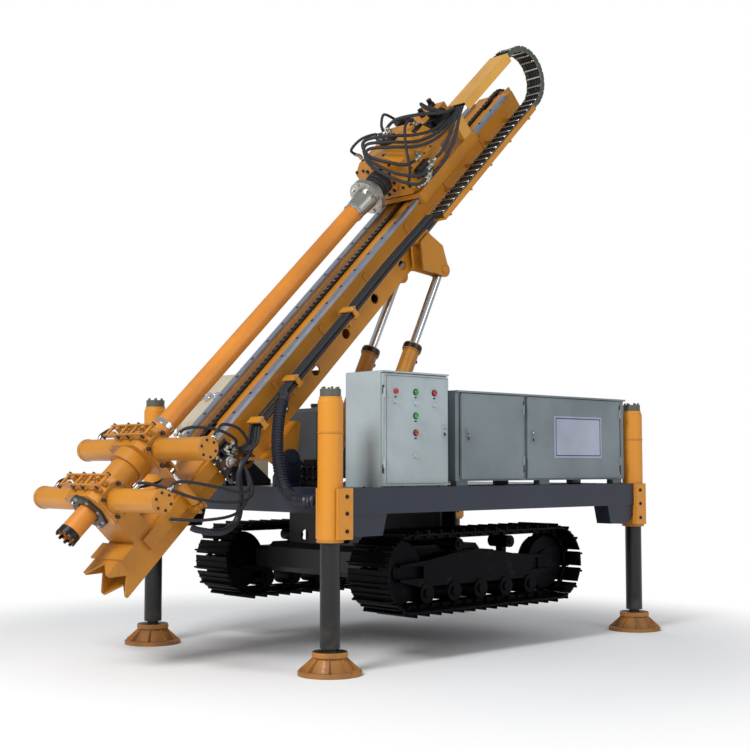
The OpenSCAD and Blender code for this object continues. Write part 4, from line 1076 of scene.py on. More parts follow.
@dataclass
class ControlBox:
    """Buttons, name strips, and black strips of painted shade in the inset gap of the control box's door."""

    face: float = 1.0746
    deck: float = 1.205
    button: float = 0.0185
    rim: float = 0.0235
    strip_drop: float = 0.038
    # Where the door's inset gap lies, and the width of the black strip of painted shade in it
    seam_in: float = 0.016
    gap_shadow: float = 0.003
    rows: tuple[tuple[float, float, Finish], ...] = (
        (-1.125, 0.656, Finish.RED), (-0.930, 0.656, Finish.GREEN), (-0.745, 0.656, Finish.RED),
        (-0.930, 0.491, Finish.GREEN), (-0.930, 0.373, Finish.RED))

    def build(self) -> None:
        """Build the buttons with their rings and strips, and black strips that paint the shade in the door's inset gap.
        """
        rings, strips = [], []
        caps: dict[Finish, list[bpy.types.Object]] = {Finish.RED: [], Finish.GREEN: []}
        for y, z, colour in self.rows:
            spot = Vector((self.face, y + MACHINE_Y, self.deck + z))
            rings.append(ring(self.rim, self.button, spot, spot + Vector((0.008, 0, 0)), 28, 0.001))
            caps[colour].append(rod(self.button, spot, spot + Vector((0.017, 0, 0)), 28, 0.004))
            strips.append(block((0.0012, 0.022, 0.010), spot + Vector((0.0005, 0, -self.strip_drop)), 0.0003, 1))
        body, slot = "control_box_door", "grey_paint"
        finish(rings, "button_rings", Finish.BLACK_PAINT, body)
        finish(strips, "button_strips", Finish.DARK_STEEL, body)
        low, high = (Vector(corner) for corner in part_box("control_box_door"))
        middle, half = (high + low) / 2, (high - low) / 2 - Vector((0, self.seam_in, self.seam_in))
        x = high.x + 0.0004
        # The inset gap is real; its dark line is painted shade: black strips on the door's face
        gap_shadow = [block((0.0012, self.gap_shadow, 2 * half.z), (x, middle.y + side * half.y, middle.z)) for side in (-1, 1)]
        gap_shadow += [block((0.0012, 2 * half.y, self.gap_shadow), (x, middle.y, middle.z + side * half.z)) for side in (-1, 1)]
        finish(gap_shadow, "door_gap_shadow", Finish.BLACK_PAINT, body)
        for colour, made in caps.items():
            finish(made, f"buttons_{colour.name.lower()}", colour, body)


@dataclass
class PowerCabinet:
    """Blank plate on the power cabinet's rear door, with its border."""

    face: float = 1.0496
    middle_y: float = 0.920
    middle_z: float = 1.575
    wide: float = 0.60
    tall: float = 0.325
    border: float = 0.009

    def build(self) -> None:
        """Build the plate and the border on it."""
        y, z = self.middle_y + MACHINE_Y, self.middle_z
        body, slot = "cabinet_door_rear", "blue_grey_paint"
        plate = block((0.003, self.wide, self.tall), (self.face + 0.0015, y, z), 0.001, 1)
        finish(plate, "blank_plate", Finish.PLATE, body)
        x, half = self.face + 0.0035, self.wide / 2 - 0.015
        rise = self.tall / 2 - 0.0175
        rim = [block((0.0015, 2 * half, self.border), (x, y, z + side * rise), 0.0005, 1) for side in (-1, 1)]
        rim += [block((0.0015, self.border, 2 * rise + self.border), (x, y + side * (half - self.border / 2), z),
                      0.0005, 1) for side in (-1, 1)]
        finish(rim, "plate_border", Finish.PLATE_RIM, body)


def hose_set(name: str, paths: Sequence[Sequence[Point]], radius: float, body: str | Span, finish_: Finish,
             matrix: Matrix | None = None, replaces: Sequence[str] = (), fittings: tuple[bool, bool] = (True, True),
             ribs: float = 0.0, steps: int = 7) -> None:
    """Hoses of one size, with crimped fittings on their ends.

    Args:
        name: name of the set.
        paths: points of each hose, in metres.
        radius: radius of the hoses.
        body: what carries them.
        finish_: finish of their cover.
        matrix: from the points' frame to the row frame.
        replaces: CAD nodes that they stand for.
        fittings: whether the first and the last end have a fitting.
        ribs: depth of corrugations, as a share of the radius.
        steps: curve points to each stretch.
    """
    tubes, ends = [], []
    nut = rod(radius * 1.5, (0, 0, -radius * 0.2), (0, 0, radius * 1.5), sides=6, bevel=radius * 0.12)
    ferrule = rod(radius * 1.22, (0, 0, radius * 1.4), (0, 0, radius * 4.2), sides=20, bevel=radius * 0.15)
    collar = ring(radius * 1.34, radius * 1.1, (0, 0, radius * 3.4), (0, 0, radius * 3.8), 20, radius * 0.05)
    fitting = join(nut, ferrule, collar)
    for path in paths:
        tubes.append(hose(path, radius, steps, 2, ribs))
        for wanted, spot, inner in ((fittings[0], path[0], path[1]), (fittings[1], path[-1], path[-2])):
            if wanted:
                ends.append(turned(fitting, spot, Vector(inner) - Vector(spot)))
    drop(fitting)
    finish(tubes, name, finish_, body, matrix, replaces)
    if ends:
        finish(ends, name + "_ends", Finish.ZINC, body, matrix)


def elbow(radius: float) -> bpy.types.Object:
    """A plated quarter-bend fitting that stands on the origin along Z and leaves it along X.

    Args:
        radius: radius of the hose that it carries.

    Returns:
        The new object, to be copied.
    """
    r = radius
    neck = hose([(0, 0, r), (0, 0, 3.0 * r), (0.6 * r, 0, 4.3 * r), (1.9 * r, 0, 4.8 * r), (4.0 * r, 0, 4.8 * r)],
                r * 0.95, 4)
    nuts = [rod(r * 1.7, (0, 0, 0), (0, 0, r * 1.6), 6, r * 0.12),
            rod(r * 1.55, (r * 3.0, 0, r * 4.8), (r * 4.6, 0, r * 4.8), 6, r * 0.12)]
    ferrule = rod(r * 1.25, (r * 4.5, 0, r * 4.8), (r * 8.5, 0, r * 4.8), 20, r * 0.15)
    return join(neck, *nuts, ferrule)


def aimed(spot: Point, up: Point, along: Point) -> Matrix:
    """Stand a fitting on a face.

    Args:
        spot: where it stands.
        up: the direction of its Z, away from the face.
        along: the direction of its X.

    Returns:
        The matrix that puts it there.
    """
    z, x = Vector(up).normalized(), Vector(along).normalized()
    turn = Matrix((x, z.cross(x), z)).transposed().to_4x4()
    return Matrix.Translation(spot) @ turn


@dataclass
class MastHoses:
    """Hoses that climb the mast, their clips, and the conduit down to the deck."""

    across: float = 0.300
    bed: float = 0.3863
    radius: float = 0.014
    conduit: float = 0.046
    clips: tuple[float, ...] = (-0.060, 0.377, 1.138)
    places: tuple[tuple[float, float], ...] = (
        (-0.014, 0.0), (0.018, 0.0), (0.050, 0.0), (-0.014, 0.0283), (0.018, 0.0283), (0.050, 0.0283))

    def build(self) -> None:
        """Build the hoses, the clips over them and the conduit."""
        paths = []
        for side, rise in self.places:
            x, h = self.across + side, self.bed + rise
            paths.append(((x + 0.020, -h, 2.330), (x + 0.012, -h, 2.150), (x, -h - 0.006, 1.700), (x, -h, 1.138),
                          (x, -h, 0.760), (x, -h, 0.377), (x, -h, 0.300)))
        span = Span("cradle_body", "mast", on_mast(0, 0, 1.138), on_mast(0, 0, 2.330))
        hose_set("mast_hose_run", paths, self.radius, span, Finish.HOSE, MAST, ("mast_hoses",), (False, False))
        clips, screws = [], []
        for along in self.clips:
            clips.append(block((0.150, 0.005, 0.036), (self.across + 0.018, -self.bed - 0.0475, along), 0.002, 1))
            screws += [((self.across + 0.018 + s * 0.066, -self.bed - 0.050, along), (0, -1, 0)) for s in (-1, 1)]
        finish(clips, "hose_clips", Finish.YELLOW, "cradle_body", MAST)
        bolts("hose_clip_bolts", 0.010, screws, Finish.ZINC, "cradle_body", MAST)
        down = ((0.362, -1.540, 1.800), (0.390, -1.590, 1.700), (0.430, -1.640, 1.500),
                (0.470, -1.650, 1.320), (0.530, -1.650, 1.190), (0.620, -1.650, 1.125), (0.700, -1.658, 1.110),
                (0.770, -1.655, 1.114), (0.800, -1.630, 1.118), (0.800, -1.600, 1.118), (0.800, -1.5703, 1.118))
        low, high = MACHINE @ Vector(down[5]), MACHINE @ Vector((0.325, -1.480, 1.890))
        hung = Span("base", "cradle_body", low, high)
        hose_set("deck_conduit", [down], self.conduit, hung, Finish.CONDUIT, MACHINE, ("conduit",), (False, False),
                 ribs=0.13, steps=12)
        mouth = MACHINE @ Vector(down[0])
        feeds = []
        for k, (side, rise) in enumerate(self.places):
            x, h = self.across + side, self.bed + rise
            inner = mouth + Vector(((k % 3 - 1) * 0.022, (k // 3 - 0.5) * 0.020, -0.020))
            feeds.append((on_mast(x, h, 0.330), on_mast(x + 0.006, h, 0.262),
                          inner + Vector((0.0, 0.020, 0.055)), inner))
        hose_set("conduit_feeds", feeds, self.radius, hung, Finish.HOSE, None, ("conduit",), (False, False))


@dataclass
class Clamps:
    """Bolts, jaw plate, ports and hoses of the two clamps, and what stands by them on the mast's foot."""

    front: float = -1.171
    rear: float = -0.703
    half: float = 0.214
    reach: float = 0.740
    cylinder: float = 0.076
    corner: float = 0.076
    pin_out: float = 0.949
    tip: float = -1.508
    teeth: int = 10
    hose: float = 0.0105
    sleeve: float = 0.024

    def _dress(self, name: str, along: float, body: str) -> None:
        """Dress one clamp: flange bolts, end caps, ports and link pins.

        Args:
            name: start of the pieces' names.
            along: the clamp's middle, along the mast.
            body: the body that it rides on.
        """
        corners, ports, caps, studs, pins = [], [], [], [], []
        pattern = bolt(0.0152, 0.0215, washer=False)
        for side in (-1, 1):
            for a in (-1, 1):
                for b in (-1, 1):
                    spot = (side * self.half, -DRILL_OUT + a * self.corner, along + b * self.corner)
                    corners.append(turned(pattern, spot, (side, 0, 0), 0.4 * a + b))
            end = side * self.reach
            caps.append(ring(self.cylinder + 0.004, 0.060, (end - side * 0.034, -DRILL_OUT, along),
                             (end - side * 0.010, -DRILL_OUT, along), 36, 0.002))
            caps.append(ring(self.cylinder + 0.006, 0.060, (side * (self.half + 0.001), -DRILL_OUT, along),
                             (side * (self.half + 0.026), -DRILL_OUT, along), 36, 0.002))
            studs += [((end, -DRILL_OUT + c, along + d), (side, 0, 0)) for c, d in around(0.056, 6, 30)]
            rise = along + self.cylinder + 0.006
            ports += [block((0.040, 0.030, 0.026), (side * x, -DRILL_OUT, rise), 0.004) for x in (0.300, 0.690)]
            for x in (0.234, 0.060):
                for low, high in ((-0.066, -0.058), (0.058, 0.066)):
                    pins.append(rod(0.0165, (side * x, -self.pin_out, along + low),
                                    (side * x, -self.pin_out, along + high), 18, 0.002))
        drop(pattern)
        finish(corners, f"{name}_flange_bolts", Finish.BLACK_PAINT, body, MAST)
        finish(caps, f"{name}_cylinder_rings", Finish.YELLOW, body, MAST)
        finish(ports, f"{name}_ports", Finish.BLACK_PAINT, body, MAST)
        finish(pins, f"{name}_link_pins", Finish.DARK_STEEL, body, MAST)
        bolts(f"{name}_cap_studs", 0.0085, studs, Finish.DARK_STEEL, body, MAST)

    def build(self) -> None:
        """Dress both clamps, the jaw plate and their hoses."""
        self._dress("front_clamp", self.front, "mast")
        self._dress("rear_clamp", self.rear, "rear_clamp")
        face = self.front - 0.100
        plate = ring(0.150, 0.088, drill_axis(face - 0.020), drill_axis(face + 0.001), 8, 0.003)
        finish(plate, "jaw_plate", Finish.BLACK_PAINT, "mast", MAST, smooth=False)
        bolts("jaw_plate_bolts", 0.011, bolt_circle(0.122, face - 0.020, -1, 8), Finish.ZINC, "mast", MAST)
        collar = ring(0.0760, 0.0712, drill_axis(-0.500), drill_axis(-0.462), 40, 0.001)
        finish(collar, "string_collar", Finish.CHROME, "spindle", MAST)
        box = [block((0.046, 0.070, 0.090), (0.2135, -0.410, -0.330), 0.005),
               block((0.006, 0.110, 0.120), (0.1930, -0.410, -0.330), 0.002)]
        finish(box, "hose_manifold", Finish.DARK_STEEL, "mast", MAST)
        self._tip()
        self._valve_bar()
        self._hoses()

    def _tip(self) -> None:
        """Put the toothed cutting ring on the end of the drill string."""
        teeth = [ring(0.0735, 0.0640, drill_axis(self.tip), drill_axis(self.tip + 0.046), 40, 0.001)]
        pattern = block((0.011, 0.020, 0.024), bevel=0.002)
        for k in range(self.teeth):
            turn = Matrix.Rotation(math.radians(360 / self.teeth * k), 4, "Z")
            spot = Matrix.Translation(drill_axis(self.tip - 0.005)) @ turn @ Matrix.Translation((0.0685, 0, 0))
            teeth.append(placed(pattern, spot @ Matrix.Rotation(math.radians(12), 4, "X")))
        drop(pattern)
        finish(teeth, "string_tip", Finish.DARK_STEEL, "spindle", MAST)

    def _valve_bar(self) -> None:
        """Hang the black valve bar with its plated fittings and motor on the mast's foot."""
        bar = [block((0.050, 0.340, 0.056), (0.2155, -0.370, -0.428), 0.005)]
        bar += [block((0.034, 0.040, 0.070), (0.2560, -h, -0.428), 0.004) for h in (0.245, 0.310, 0.475)]
        finish(bar, "foot_valve_bar", Finish.BLACK_PAINT, "mast", MAST)
        rows = ((0.215, -0.440), (0.275, -0.430), (0.340, -0.440), (0.405, -0.430), (0.440, -0.440), (0.510, -0.430))
        nuts = [rod(0.0145, (0.240, -h, z), (0.262, -h, z), 6, 0.002) for h, z in rows]
        nuts += [rod(0.0115, (0.2155, -h, -0.475), (0.2155, -h, -0.454), 6, 0.002) for h in (0.260, 0.330, 0.400)]
        finish(nuts, "foot_valve_nuts", Finish.ZINC, "mast", MAST)
        motor = [rod(0.040, (0.240, -0.372, -0.412), (0.318, -0.372, -0.412), 32, 0.006),
                 rod(0.028, (0.318, -0.372, -0.412), (0.336, -0.372, -0.412), 32, 0.004)]
        finish(motor, "foot_valve_motor", Finish.STEEL, "mast", MAST)

    def _hoses(self) -> None:
        """Lay the hoses from the clamps' ports to the manifold and on to the cradle."""
        sleeve = ((0.270, -0.330, -0.120), (0.290, -0.300, -0.240), (0.305, -0.270, -0.400), (0.305, -0.130, -0.520),
                  (0.300, -0.040, -0.640), (0.290, -0.070, -0.780), (0.255, -0.190, -0.880), (0.235, -0.243, -0.905))
        held = Span("mast", "cradle_body", on_mast(0, 0, -0.380), on_mast(0, 0, -0.120))
        hose_set("sleeved_hose", [sleeve], self.sleeve, held, Finish.CONDUIT, MAST, fittings=(False, False))
        f, r = self.front + self.cylinder + 0.018, self.rear + self.cylinder + 0.018
        front = (
            ((0.690, -0.775, f), (0.695, -0.775, f + 0.07), (0.690, -0.690, -0.920), (0.640, -0.480, -0.760),
             (0.540, -0.270, -0.600), (0.400, -0.200, -0.430), (0.290, -0.300, -0.330), (0.240, -0.395, -0.350)),
            ((0.300, -0.775, f), (0.310, -0.775, f + 0.06), (0.380, -0.690, -0.960), (0.470, -0.450, -0.840),
             (0.470, -0.220, -0.640), (0.390, -0.130, -0.460), (0.300, -0.240, -0.340), (0.240, -0.380, -0.315)),
            ((0.180, -0.375, -0.960), (0.240, -0.372, -0.955), (0.330, -0.250, -0.840), (0.360, -0.110, -0.640),
             (0.340, -0.130, -0.450), (0.290, -0.280, -0.335), (0.238, -0.435, -0.345)),
            ((-0.690, -0.775, f), (-0.690, -0.780, f + 0.07), (-0.600, -0.720, -0.930), (-0.470, -0.520, -0.820),
             (-0.360, -0.380, -0.640), (-0.260, -0.360, -0.450), (-0.200, -0.400, -0.340)),
        )
        hose_set("front_clamp_hoses", front, self.hose, "mast", Finish.HOSE, MAST)
        rear = (
            ((0.690, -0.775, r), (0.695, -0.790, r + 0.06), (0.650, -0.760, -0.460), (0.540, -0.600, -0.330),
             (0.420, -0.420, -0.270), (0.310, -0.380, -0.280), (0.240, -0.410, -0.300)),
            ((0.300, -0.775, r), (0.310, -0.800, r + 0.05), (0.370, -0.780, -0.500), (0.400, -0.640, -0.380),
             (0.360, -0.480, -0.300), (0.300, -0.420, -0.300), (0.240, -0.425, -0.325)),
            ((-0.690, -0.775, r), (-0.690, -0.790, r + 0.06), (-0.600, -0.760, -0.450), (-0.450, -0.600, -0.360),
             (-0.320, -0.450, -0.310), (-0.200, -0.410, -0.330)),
        )
        span = Span("rear_clamp", "mast", on_mast(0, DRILL_OUT, r + 0.03), on_mast(0, 0.420, -0.270))
        hose_set("rear_clamp_hoses", rear, self.hose, span, Finish.HOSE, MAST)
        feed, climb = [], MastHoses()
        for k, (side, rise) in enumerate(climb.places[:4]):
            x, h = climb.across + side, climb.bed + rise
            feed.append(((0.240, -0.385 - 0.014 * k, -0.300 + 0.01 * k), (0.290 + 0.01 * k, -0.350 + 0.01 * k, -0.270),
                         (x + 0.02, -h + 0.05, -0.190), (x, -h, -0.090), (x, -h, -0.030), (x, -h, 0.150),
                         (x, -h, 0.297)))
        span = Span("mast", "cradle_body", on_mast(0, 0, -0.300), on_mast(0, 0, -0.060))
        hose_set("feed_hoses", feed, self.hose, span, Finish.HOSE, MAST, fittings=(True, False))


@dataclass
class Head:
    """Spindle fittings, gearbox bolts and the hoses of the feed head."""

    flange: float = 2.158
    gearbox: float = 2.420
    motor_x: float = 0.192
    motor_out: float = 0.855
    hose: float = 0.0135
    link_hose: float = 0.0115

    def build(self) -> None:
        """Dress the spindle, the gearbox and the motors."""
        rims = bolt_circle(0.124, self.flange, -1, 8) + bolt_circle(0.124, self.flange + 0.044, 1, 8)
        bolts("flange_bolts", 0.0155, rims, Finish.ZINC, "spindle", MAST)
        bolts("bearing_bolts", 0.014, bolt_circle(0.132, self.gearbox - 0.030, -1, 10, 18), Finish.DARK_STEEL, "head",
              MAST)
        gland = [ring(0.104, 0.0675, drill_axis(2.318), drill_axis(2.391), 40, 0.004),
                 ring(0.092, 0.0675, drill_axis(2.284), drill_axis(2.320), 40, 0.003)]
        finish(gland, "gland", Finish.BLACK_PAINT, "head", MAST)
        silver = [ring(0.0985, 0.0955, drill_axis(2.206), drill_axis(2.224), 48, 0.0008),
                  ring(0.0810, 0.0755, drill_axis(1.955), drill_axis(1.985), 48, 0.0015)]
        finish(silver, "spindle_rings", Finish.CHROME, "spindle", MAST)
        face = [((x, -h, self.gearbox), (0, 0, -1)) for x in (-0.225, -0.15, 0.15, 0.225) for h in (0.66, 0.885)]
        face += [((s * 0.262, -DRILL_OUT + 0.005, z), (0, -1, 0)) for s in (-1, 1) for z in (2.50, 2.60, 2.70, 2.80)]
        face += [((x, -0.960, z), (0, -1, 0)) for x in (-0.12, 0.12) for z in (2.45, 2.88)]
        bolts("gearbox_bolts", 0.012, face, Finish.DARK_STEEL, "head", MAST)
        self._blocks()
        self._elbows()
        self._hoses()

    def _blocks(self) -> None:
        """Valve blocks, plugs and motor flanges on the gearbox."""
        parts = [block((0.120, 0.050, 0.100), (0.030, -0.985, 2.660), 0.005),
                 block((0.070, 0.045, 0.070), (-0.130, -0.982, 2.760), 0.005),
                 block((0.060, 0.070, 0.120), (0.165, -0.905, 2.860), 0.006)]
        for x in (-self.motor_x, self.motor_x):
            parts.append(rod(0.064, (x, -self.motor_out, 2.921), (x, -self.motor_out, 2.938), 32, 0.003))
            parts.append(rod(0.045, (x, -self.motor_out, 3.180), (x, -self.motor_out, 3.202), 32, 0.006))
            parts.append(block((0.075, 0.040, 0.060), (x, -0.921, 3.085), 0.005))
        finish(parts, "head_valve_blocks", Finish.DARK_STEEL, "head", MAST)
        plugs = [rod(0.016, (x, -1.008, z), (x, -1.026, z), 6, 0.002)
                 for x, z in ((0.000, 2.635), (0.060, 2.635), (0.000, 2.690), (0.060, 2.690))]
        plugs += [rod(0.020, (-0.180, -0.955, 2.500), (-0.180, -0.985, 2.500), 6, 0.003),
                  rod(0.012, (0.225, -0.700, 2.412), (0.225, -0.700, 2.421), 6, 0.002)]
        for x in (-self.motor_x, self.motor_x):
            plugs += [rod(0.0075, (x + c, -self.motor_out + d, 2.936), (x + c, -self.motor_out + d, 2.946), 6)
                      for c, d in around(0.055, 6, 30)]
        finish(plugs, "head_plugs", Finish.ZINC, "head", MAST)

    def _elbows(self) -> None:
        """Stand the plated elbows on the gearbox's side, with the block that they feed."""
        pattern = elbow(self.hose)
        spots = (((0.318, -0.715, 2.640), (0, 0, -1)), ((0.318, -0.675, 2.570), (0, 0, -1)),
                 ((0.250, -0.815, 2.640), (0, 0, -1)), ((0.250, -0.620, 2.470), (0, 0, 1)))
        made = [placed(pattern, aimed(spot, (1, 0, 0), along)) for spot, along in spots]
        drop(pattern)
        finish(made, "head_elbows", Finish.ZINC, "head", MAST)
        body = [block((0.068, 0.090, 0.150), (0.284, -0.695, 2.600), 0.005),
                block((0.030, 0.052, 0.060), (0.300, -0.700, 2.500), 0.004)]
        body += [rod(0.017, (0.318, -0.695, z), (0.330, -0.695, z), 20, 0.002) for z in (2.545, 2.605, 2.655)]
        finish(body, "head_side_block", Finish.BLACK_PAINT, "head", MAST)

    def _hoses(self) -> None:
        """Lay the looping hoses from the cover down to the head."""
        loops = (
            ((0.345, -0.862, 3.188), (0.350, -0.840, 3.060), (0.345, -0.845, 2.860), (0.320, -0.920, 2.640),
             (0.210, -1.040, 2.490), (0.070, -1.105, 2.410), (0.050, -1.060, 2.350), (0.130, -0.980, 2.310),
             (0.270, -0.860, 2.310), (0.365, -0.760, 2.380), (0.381, -0.718, 2.460), (0.381, -0.715, 2.528)),
            ((0.370, -0.862, 3.188), (0.375, -0.830, 3.040), (0.370, -0.820, 2.840), (0.345, -0.890, 2.610),
             (0.235, -1.010, 2.455), (0.090, -1.075, 2.380), (0.060, -1.030, 2.325), (0.140, -0.945, 2.280),
             (0.280, -0.815, 2.280), (0.370, -0.715, 2.330), (0.381, -0.676, 2.400), (0.381, -0.675, 2.458)),
            ((0.320, -0.862, 3.188), (0.325, -0.850, 3.070), (0.320, -0.870, 2.880), (0.290, -0.960, 2.680),
             (0.190, -1.075, 2.530), (0.060, -1.130, 2.440), (0.030, -1.100, 2.390), (0.090, -1.020, 2.350),
             (0.210, -0.930, 2.370), (0.295, -0.840, 2.440), (0.313, -0.815, 2.528)),
            ((0.420, -0.862, 3.188), (0.425, -0.820, 3.080), (0.415, -0.740, 2.960), (0.380, -0.660, 2.800),
             (0.330, -0.625, 2.680), (0.313, -0.620, 2.582)),
        )
        hose_set("head_hose_loops", loops, self.hose, "head", Finish.HOSE, MAST, ("head_hoses",), (False, False))
        drops = (
            ((0.300, -0.862, 3.188), (0.298, -0.880, 3.120), (0.275, -0.960, 3.050), (0.225, -0.990, 3.060),
             (0.200, -0.942, 3.075)),
            ((0.330, -0.862, 3.188), (0.330, -0.900, 3.080), (0.290, -1.020, 2.960), (0.220, -1.060, 3.000),
             (0.185, -0.942, 3.100)),
            ((0.355, -0.862, 3.188), (0.352, -0.930, 3.020), (0.300, -1.040, 2.850), (0.170, -1.100, 2.740),
             (0.070, -1.075, 2.690), (0.060, -1.026, 2.690)),
            ((0.395, -0.862, 3.188), (0.405, -0.830, 3.060), (0.400, -0.770, 2.900), (0.370, -0.715, 2.780),
             (0.320, -0.697, 2.720), (0.300, -0.695, 2.675)),
        )
        hose_set("head_hose_drops", drops, self.hose, "head", Finish.HOSE, MAST, ("head_hoses",), (False, True))
        links = (
            ((0.000, -1.026, 2.635), (-0.005, -1.080, 2.610), (-0.060, -1.120, 2.500), (-0.160, -1.080, 2.440),
             (-0.185, -1.010, 2.480), (-0.180, -0.985, 2.500)),
            ((0.000, -1.026, 2.690), (-0.010, -1.090, 2.720), (-0.080, -1.110, 2.850), (-0.170, -1.060, 2.980),
             (-0.192, -0.942, 3.075)),
            ((0.165, -0.942, 2.880), (0.170, -1.010, 2.860), (0.240, -1.040, 2.700), (0.320, -0.960, 2.520),
             (0.310, -0.800, 2.440), (0.250, -0.700, 2.400), (0.225, -0.700, 2.412)),
        )
        hose_set("head_hose_links", links, self.link_hose, "head", Finish.HOSE, MAST)


@dataclass
class Jacks:
    """Bolts on the four jacks' brackets, and bands round their sleeves."""

    span_x: float = 2.052
    span_y: float = 3.348
    sleeve: float = 0.0835
    side_rows: tuple[float, ...] = (0.925, 1.040, 1.150)
    end_rows: tuple[float, ...] = (0.900, 1.165)
    rings: tuple[tuple[float, float, float], ...] = ((0.0905, 0.851, 0.868), (0.0875, 1.560, 1.572))

    def build(self) -> None:
        """Build the bracket bolts, the bands and the stop under the upper band."""
        spots, bands = [], []
        for sx in (-1, 1):
            for sy in (-1, 1):
                x, y = sx * self.span_x / 2, sy * self.span_y / 2 + MACHINE_Y
                spots += [((x + side * 0.110, y - sy * 0.050, z), (side, 0, 0))
                          for side in (-1, 1) for z in self.side_rows]
                spots += [((x + dx, y - sy * 0.0775, z), (0, sy, 0)) for z in self.end_rows for dx in (-0.085, 0.085)]
                bands += [ring(radius, self.sleeve, (x, y, low), (x, y, high), 40, 0.002)
                          for radius, low, high in self.rings]
                bands.append(block((0.030, 0.016, 0.030), (x, y - sy * 0.088, 1.500), 0.003, 1))
        bolts("bracket_bolts", 0.0125, spots, Finish.DARK_STEEL, "base")
        finish(bands, "sleeve_bands", Finish.YELLOW, "base")


@dataclass
class Doors:
    """Hinges and locks of the control box and the power cabinet."""

    cabinet_face: float = 1.050
    box_face: float = 1.075

    def build(self) -> None:
        """Build the locks and the hinges of the three doors."""
        doors = (
            ("control_box_door", self.box_face, -0.648, 1.595, -1.2385, (1.330, 1.870)),
            ("cabinet_door_front", self.cabinet_face, -0.370, 1.570, 0.255, (1.330, 1.810)),
            ("cabinet_door_rear", self.cabinet_face, 0.361, 1.570, 1.468, (1.330, 1.810)),
        )
        for body, face, lock_y, lock_z, hinge_y, heights in doors:
            spot = Vector((face, lock_y + MACHINE_Y, lock_z))
            parts = [block((0.008, 0.030, 0.090), spot + Vector((0.003, 0, 0)), 0.003),
                     block((0.006, 0.018, 0.052), spot + Vector((0.0085, 0, -0.008)), 0.002)]
            finish(parts, f"lock_{body}", Finish.BLACK_PAINT, body)
            key = ring(0.0075, 0.0035, spot + Vector((0.010, 0, 0.028)), spot + Vector((0.013, 0, 0.028)), 20,
                       0.0005)
            finish(key, f"key_{body}", Finish.CHROME, body)
            x, y = face - 0.003, hinge_y + MACHINE_Y
            pins = [rod(0.0065, (x, y, z - 0.030), (x, y, z + 0.030), 16, 0.001) for z in heights]
            finish(pins, f"hinges_{body}", Finish.DARK_STEEL, body)


@dataclass
class Console:
    """Dials and lever collars of the operator's console."""

    low: float = -1.090
    high: float = -0.560
    dial_pitch: float = 0.110
    ticks: int = 9
    lever_pitch: float = 0.060
    dial_slope: float = 49.9
    lever_slope: float = 70.0
    dial_row: tuple[float, float] = (-1.270, 1.880)
    lever_row: tuple[float, float] = (-1.422, 1.560)

    def build(self) -> None:
        """Build the dials with their rims and marks, and the lever collars."""
        rims, dials, marks, collars = [], [], [], []
        for x in spread(self.low + 0.100, self.high - 0.090, self.dial_pitch):
            place = Matrix.Translation((x, *self.dial_row)) @ Matrix.Rotation(math.radians(self.dial_slope), 4, "X")
            rims.append(ring(0.0395, 0.032, place @ Vector((0, 0, 0.016)), place @ Vector((0, 0, 0.026)), 36, 0.001))
            dials.append(rod(0.0325, place @ Vector((0, 0, 0.020)), place @ Vector((0, 0, 0.0225)), 36))
            marks.append(rod(0.0012, place @ Vector((0, 0, 0.0236)), place @ Vector((0.018, 0.014, 0.0236)), 6))
            lift = Vector((0, 0, 0.0228))
            for k in range(self.ticks):
                turn = math.radians(-45 + 33.75 * k)
                way = Vector((math.cos(turn), math.sin(turn), 0))
                marks.append(rod(0.0009, place @ (way * 0.024 + lift), place @ (way * 0.029 + lift), 6))
        for x in spread(self.low + 0.090, self.high - 0.080, self.lever_pitch):
            place = Matrix.Translation((x, *self.lever_row)) @ Matrix.Rotation(math.radians(self.lever_slope), 4, "X")
            collars.append(rod(0.0095, place @ Vector((0, 0, 0)), place @ Vector((0, 0, 0.016)), 16, 0.002))
        finish(rims, "dial_rims", Finish.CHROME, "base", MACHINE)
        finish(dials, "dial_faces", Finish.PLATE, "base", MACHINE)
        finish(marks, "dial_marks", Finish.BLACK_PAINT, "base", MACHINE)
        finish(collars, "lever_collars", Finish.DARK_STEEL, "base", MACHINE)


@dataclass
class Cylinders:
    """Gland rings and ports of the lift cylinders."""

    across: float = 0.240
    base: Point = (0.0, -0.600, 1.300)
    eye: tuple[float, float] = (-0.025, 2.197)
    length: float = 1.109
    radius: float = 0.065

    def build(self) -> None:
        """Build each lift barrel's gland and its two ports."""
        high = MACHINE.inverted() @ on_mast(0, self.eye[0], self.eye[1])
        way = (Vector((0, high.y, high.z)) - Vector(self.base)).normalized()
        side_way = Vector((1, 0, 0)).cross(way)
        for side, name in ((1, "left"), (-1, "right")):
            root = Vector((side * self.across, self.base[1], self.base[2]))
            parts = [ring(0.0765, 0.0725, root + way * (self.length - 0.050), root + way * (self.length - 0.010), 40,
                          0.002),
                     ring(0.0690, 0.0645, root + way * 0.120, root + way * 0.150, 40, 0.002)]
            for reach in (0.170, self.length - 0.110):
                spot = root + way * reach + side_way * (-self.radius + 0.002)
                parts.append(rod(0.018, spot, spot - side_way * 0.022, 24, 0.002))
            body = f"lift_barrel_{self._body(side)}"
            finish(parts, f"lift_gland_{name}", Finish.DARK_STEEL, body, MACHINE)

    def _body(self, side: int) -> str:
        """Side's name in the bodies' names, found from where a barrel lies.

        Args:
            side: 1 for the positive X side, -1 for the other.

        Returns:
            left or right.
        """
        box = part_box("lift_barrel_left")
        middle = (box[0][0] + box[1][0]) / 2
        return "left" if middle * side > 0 else "right"


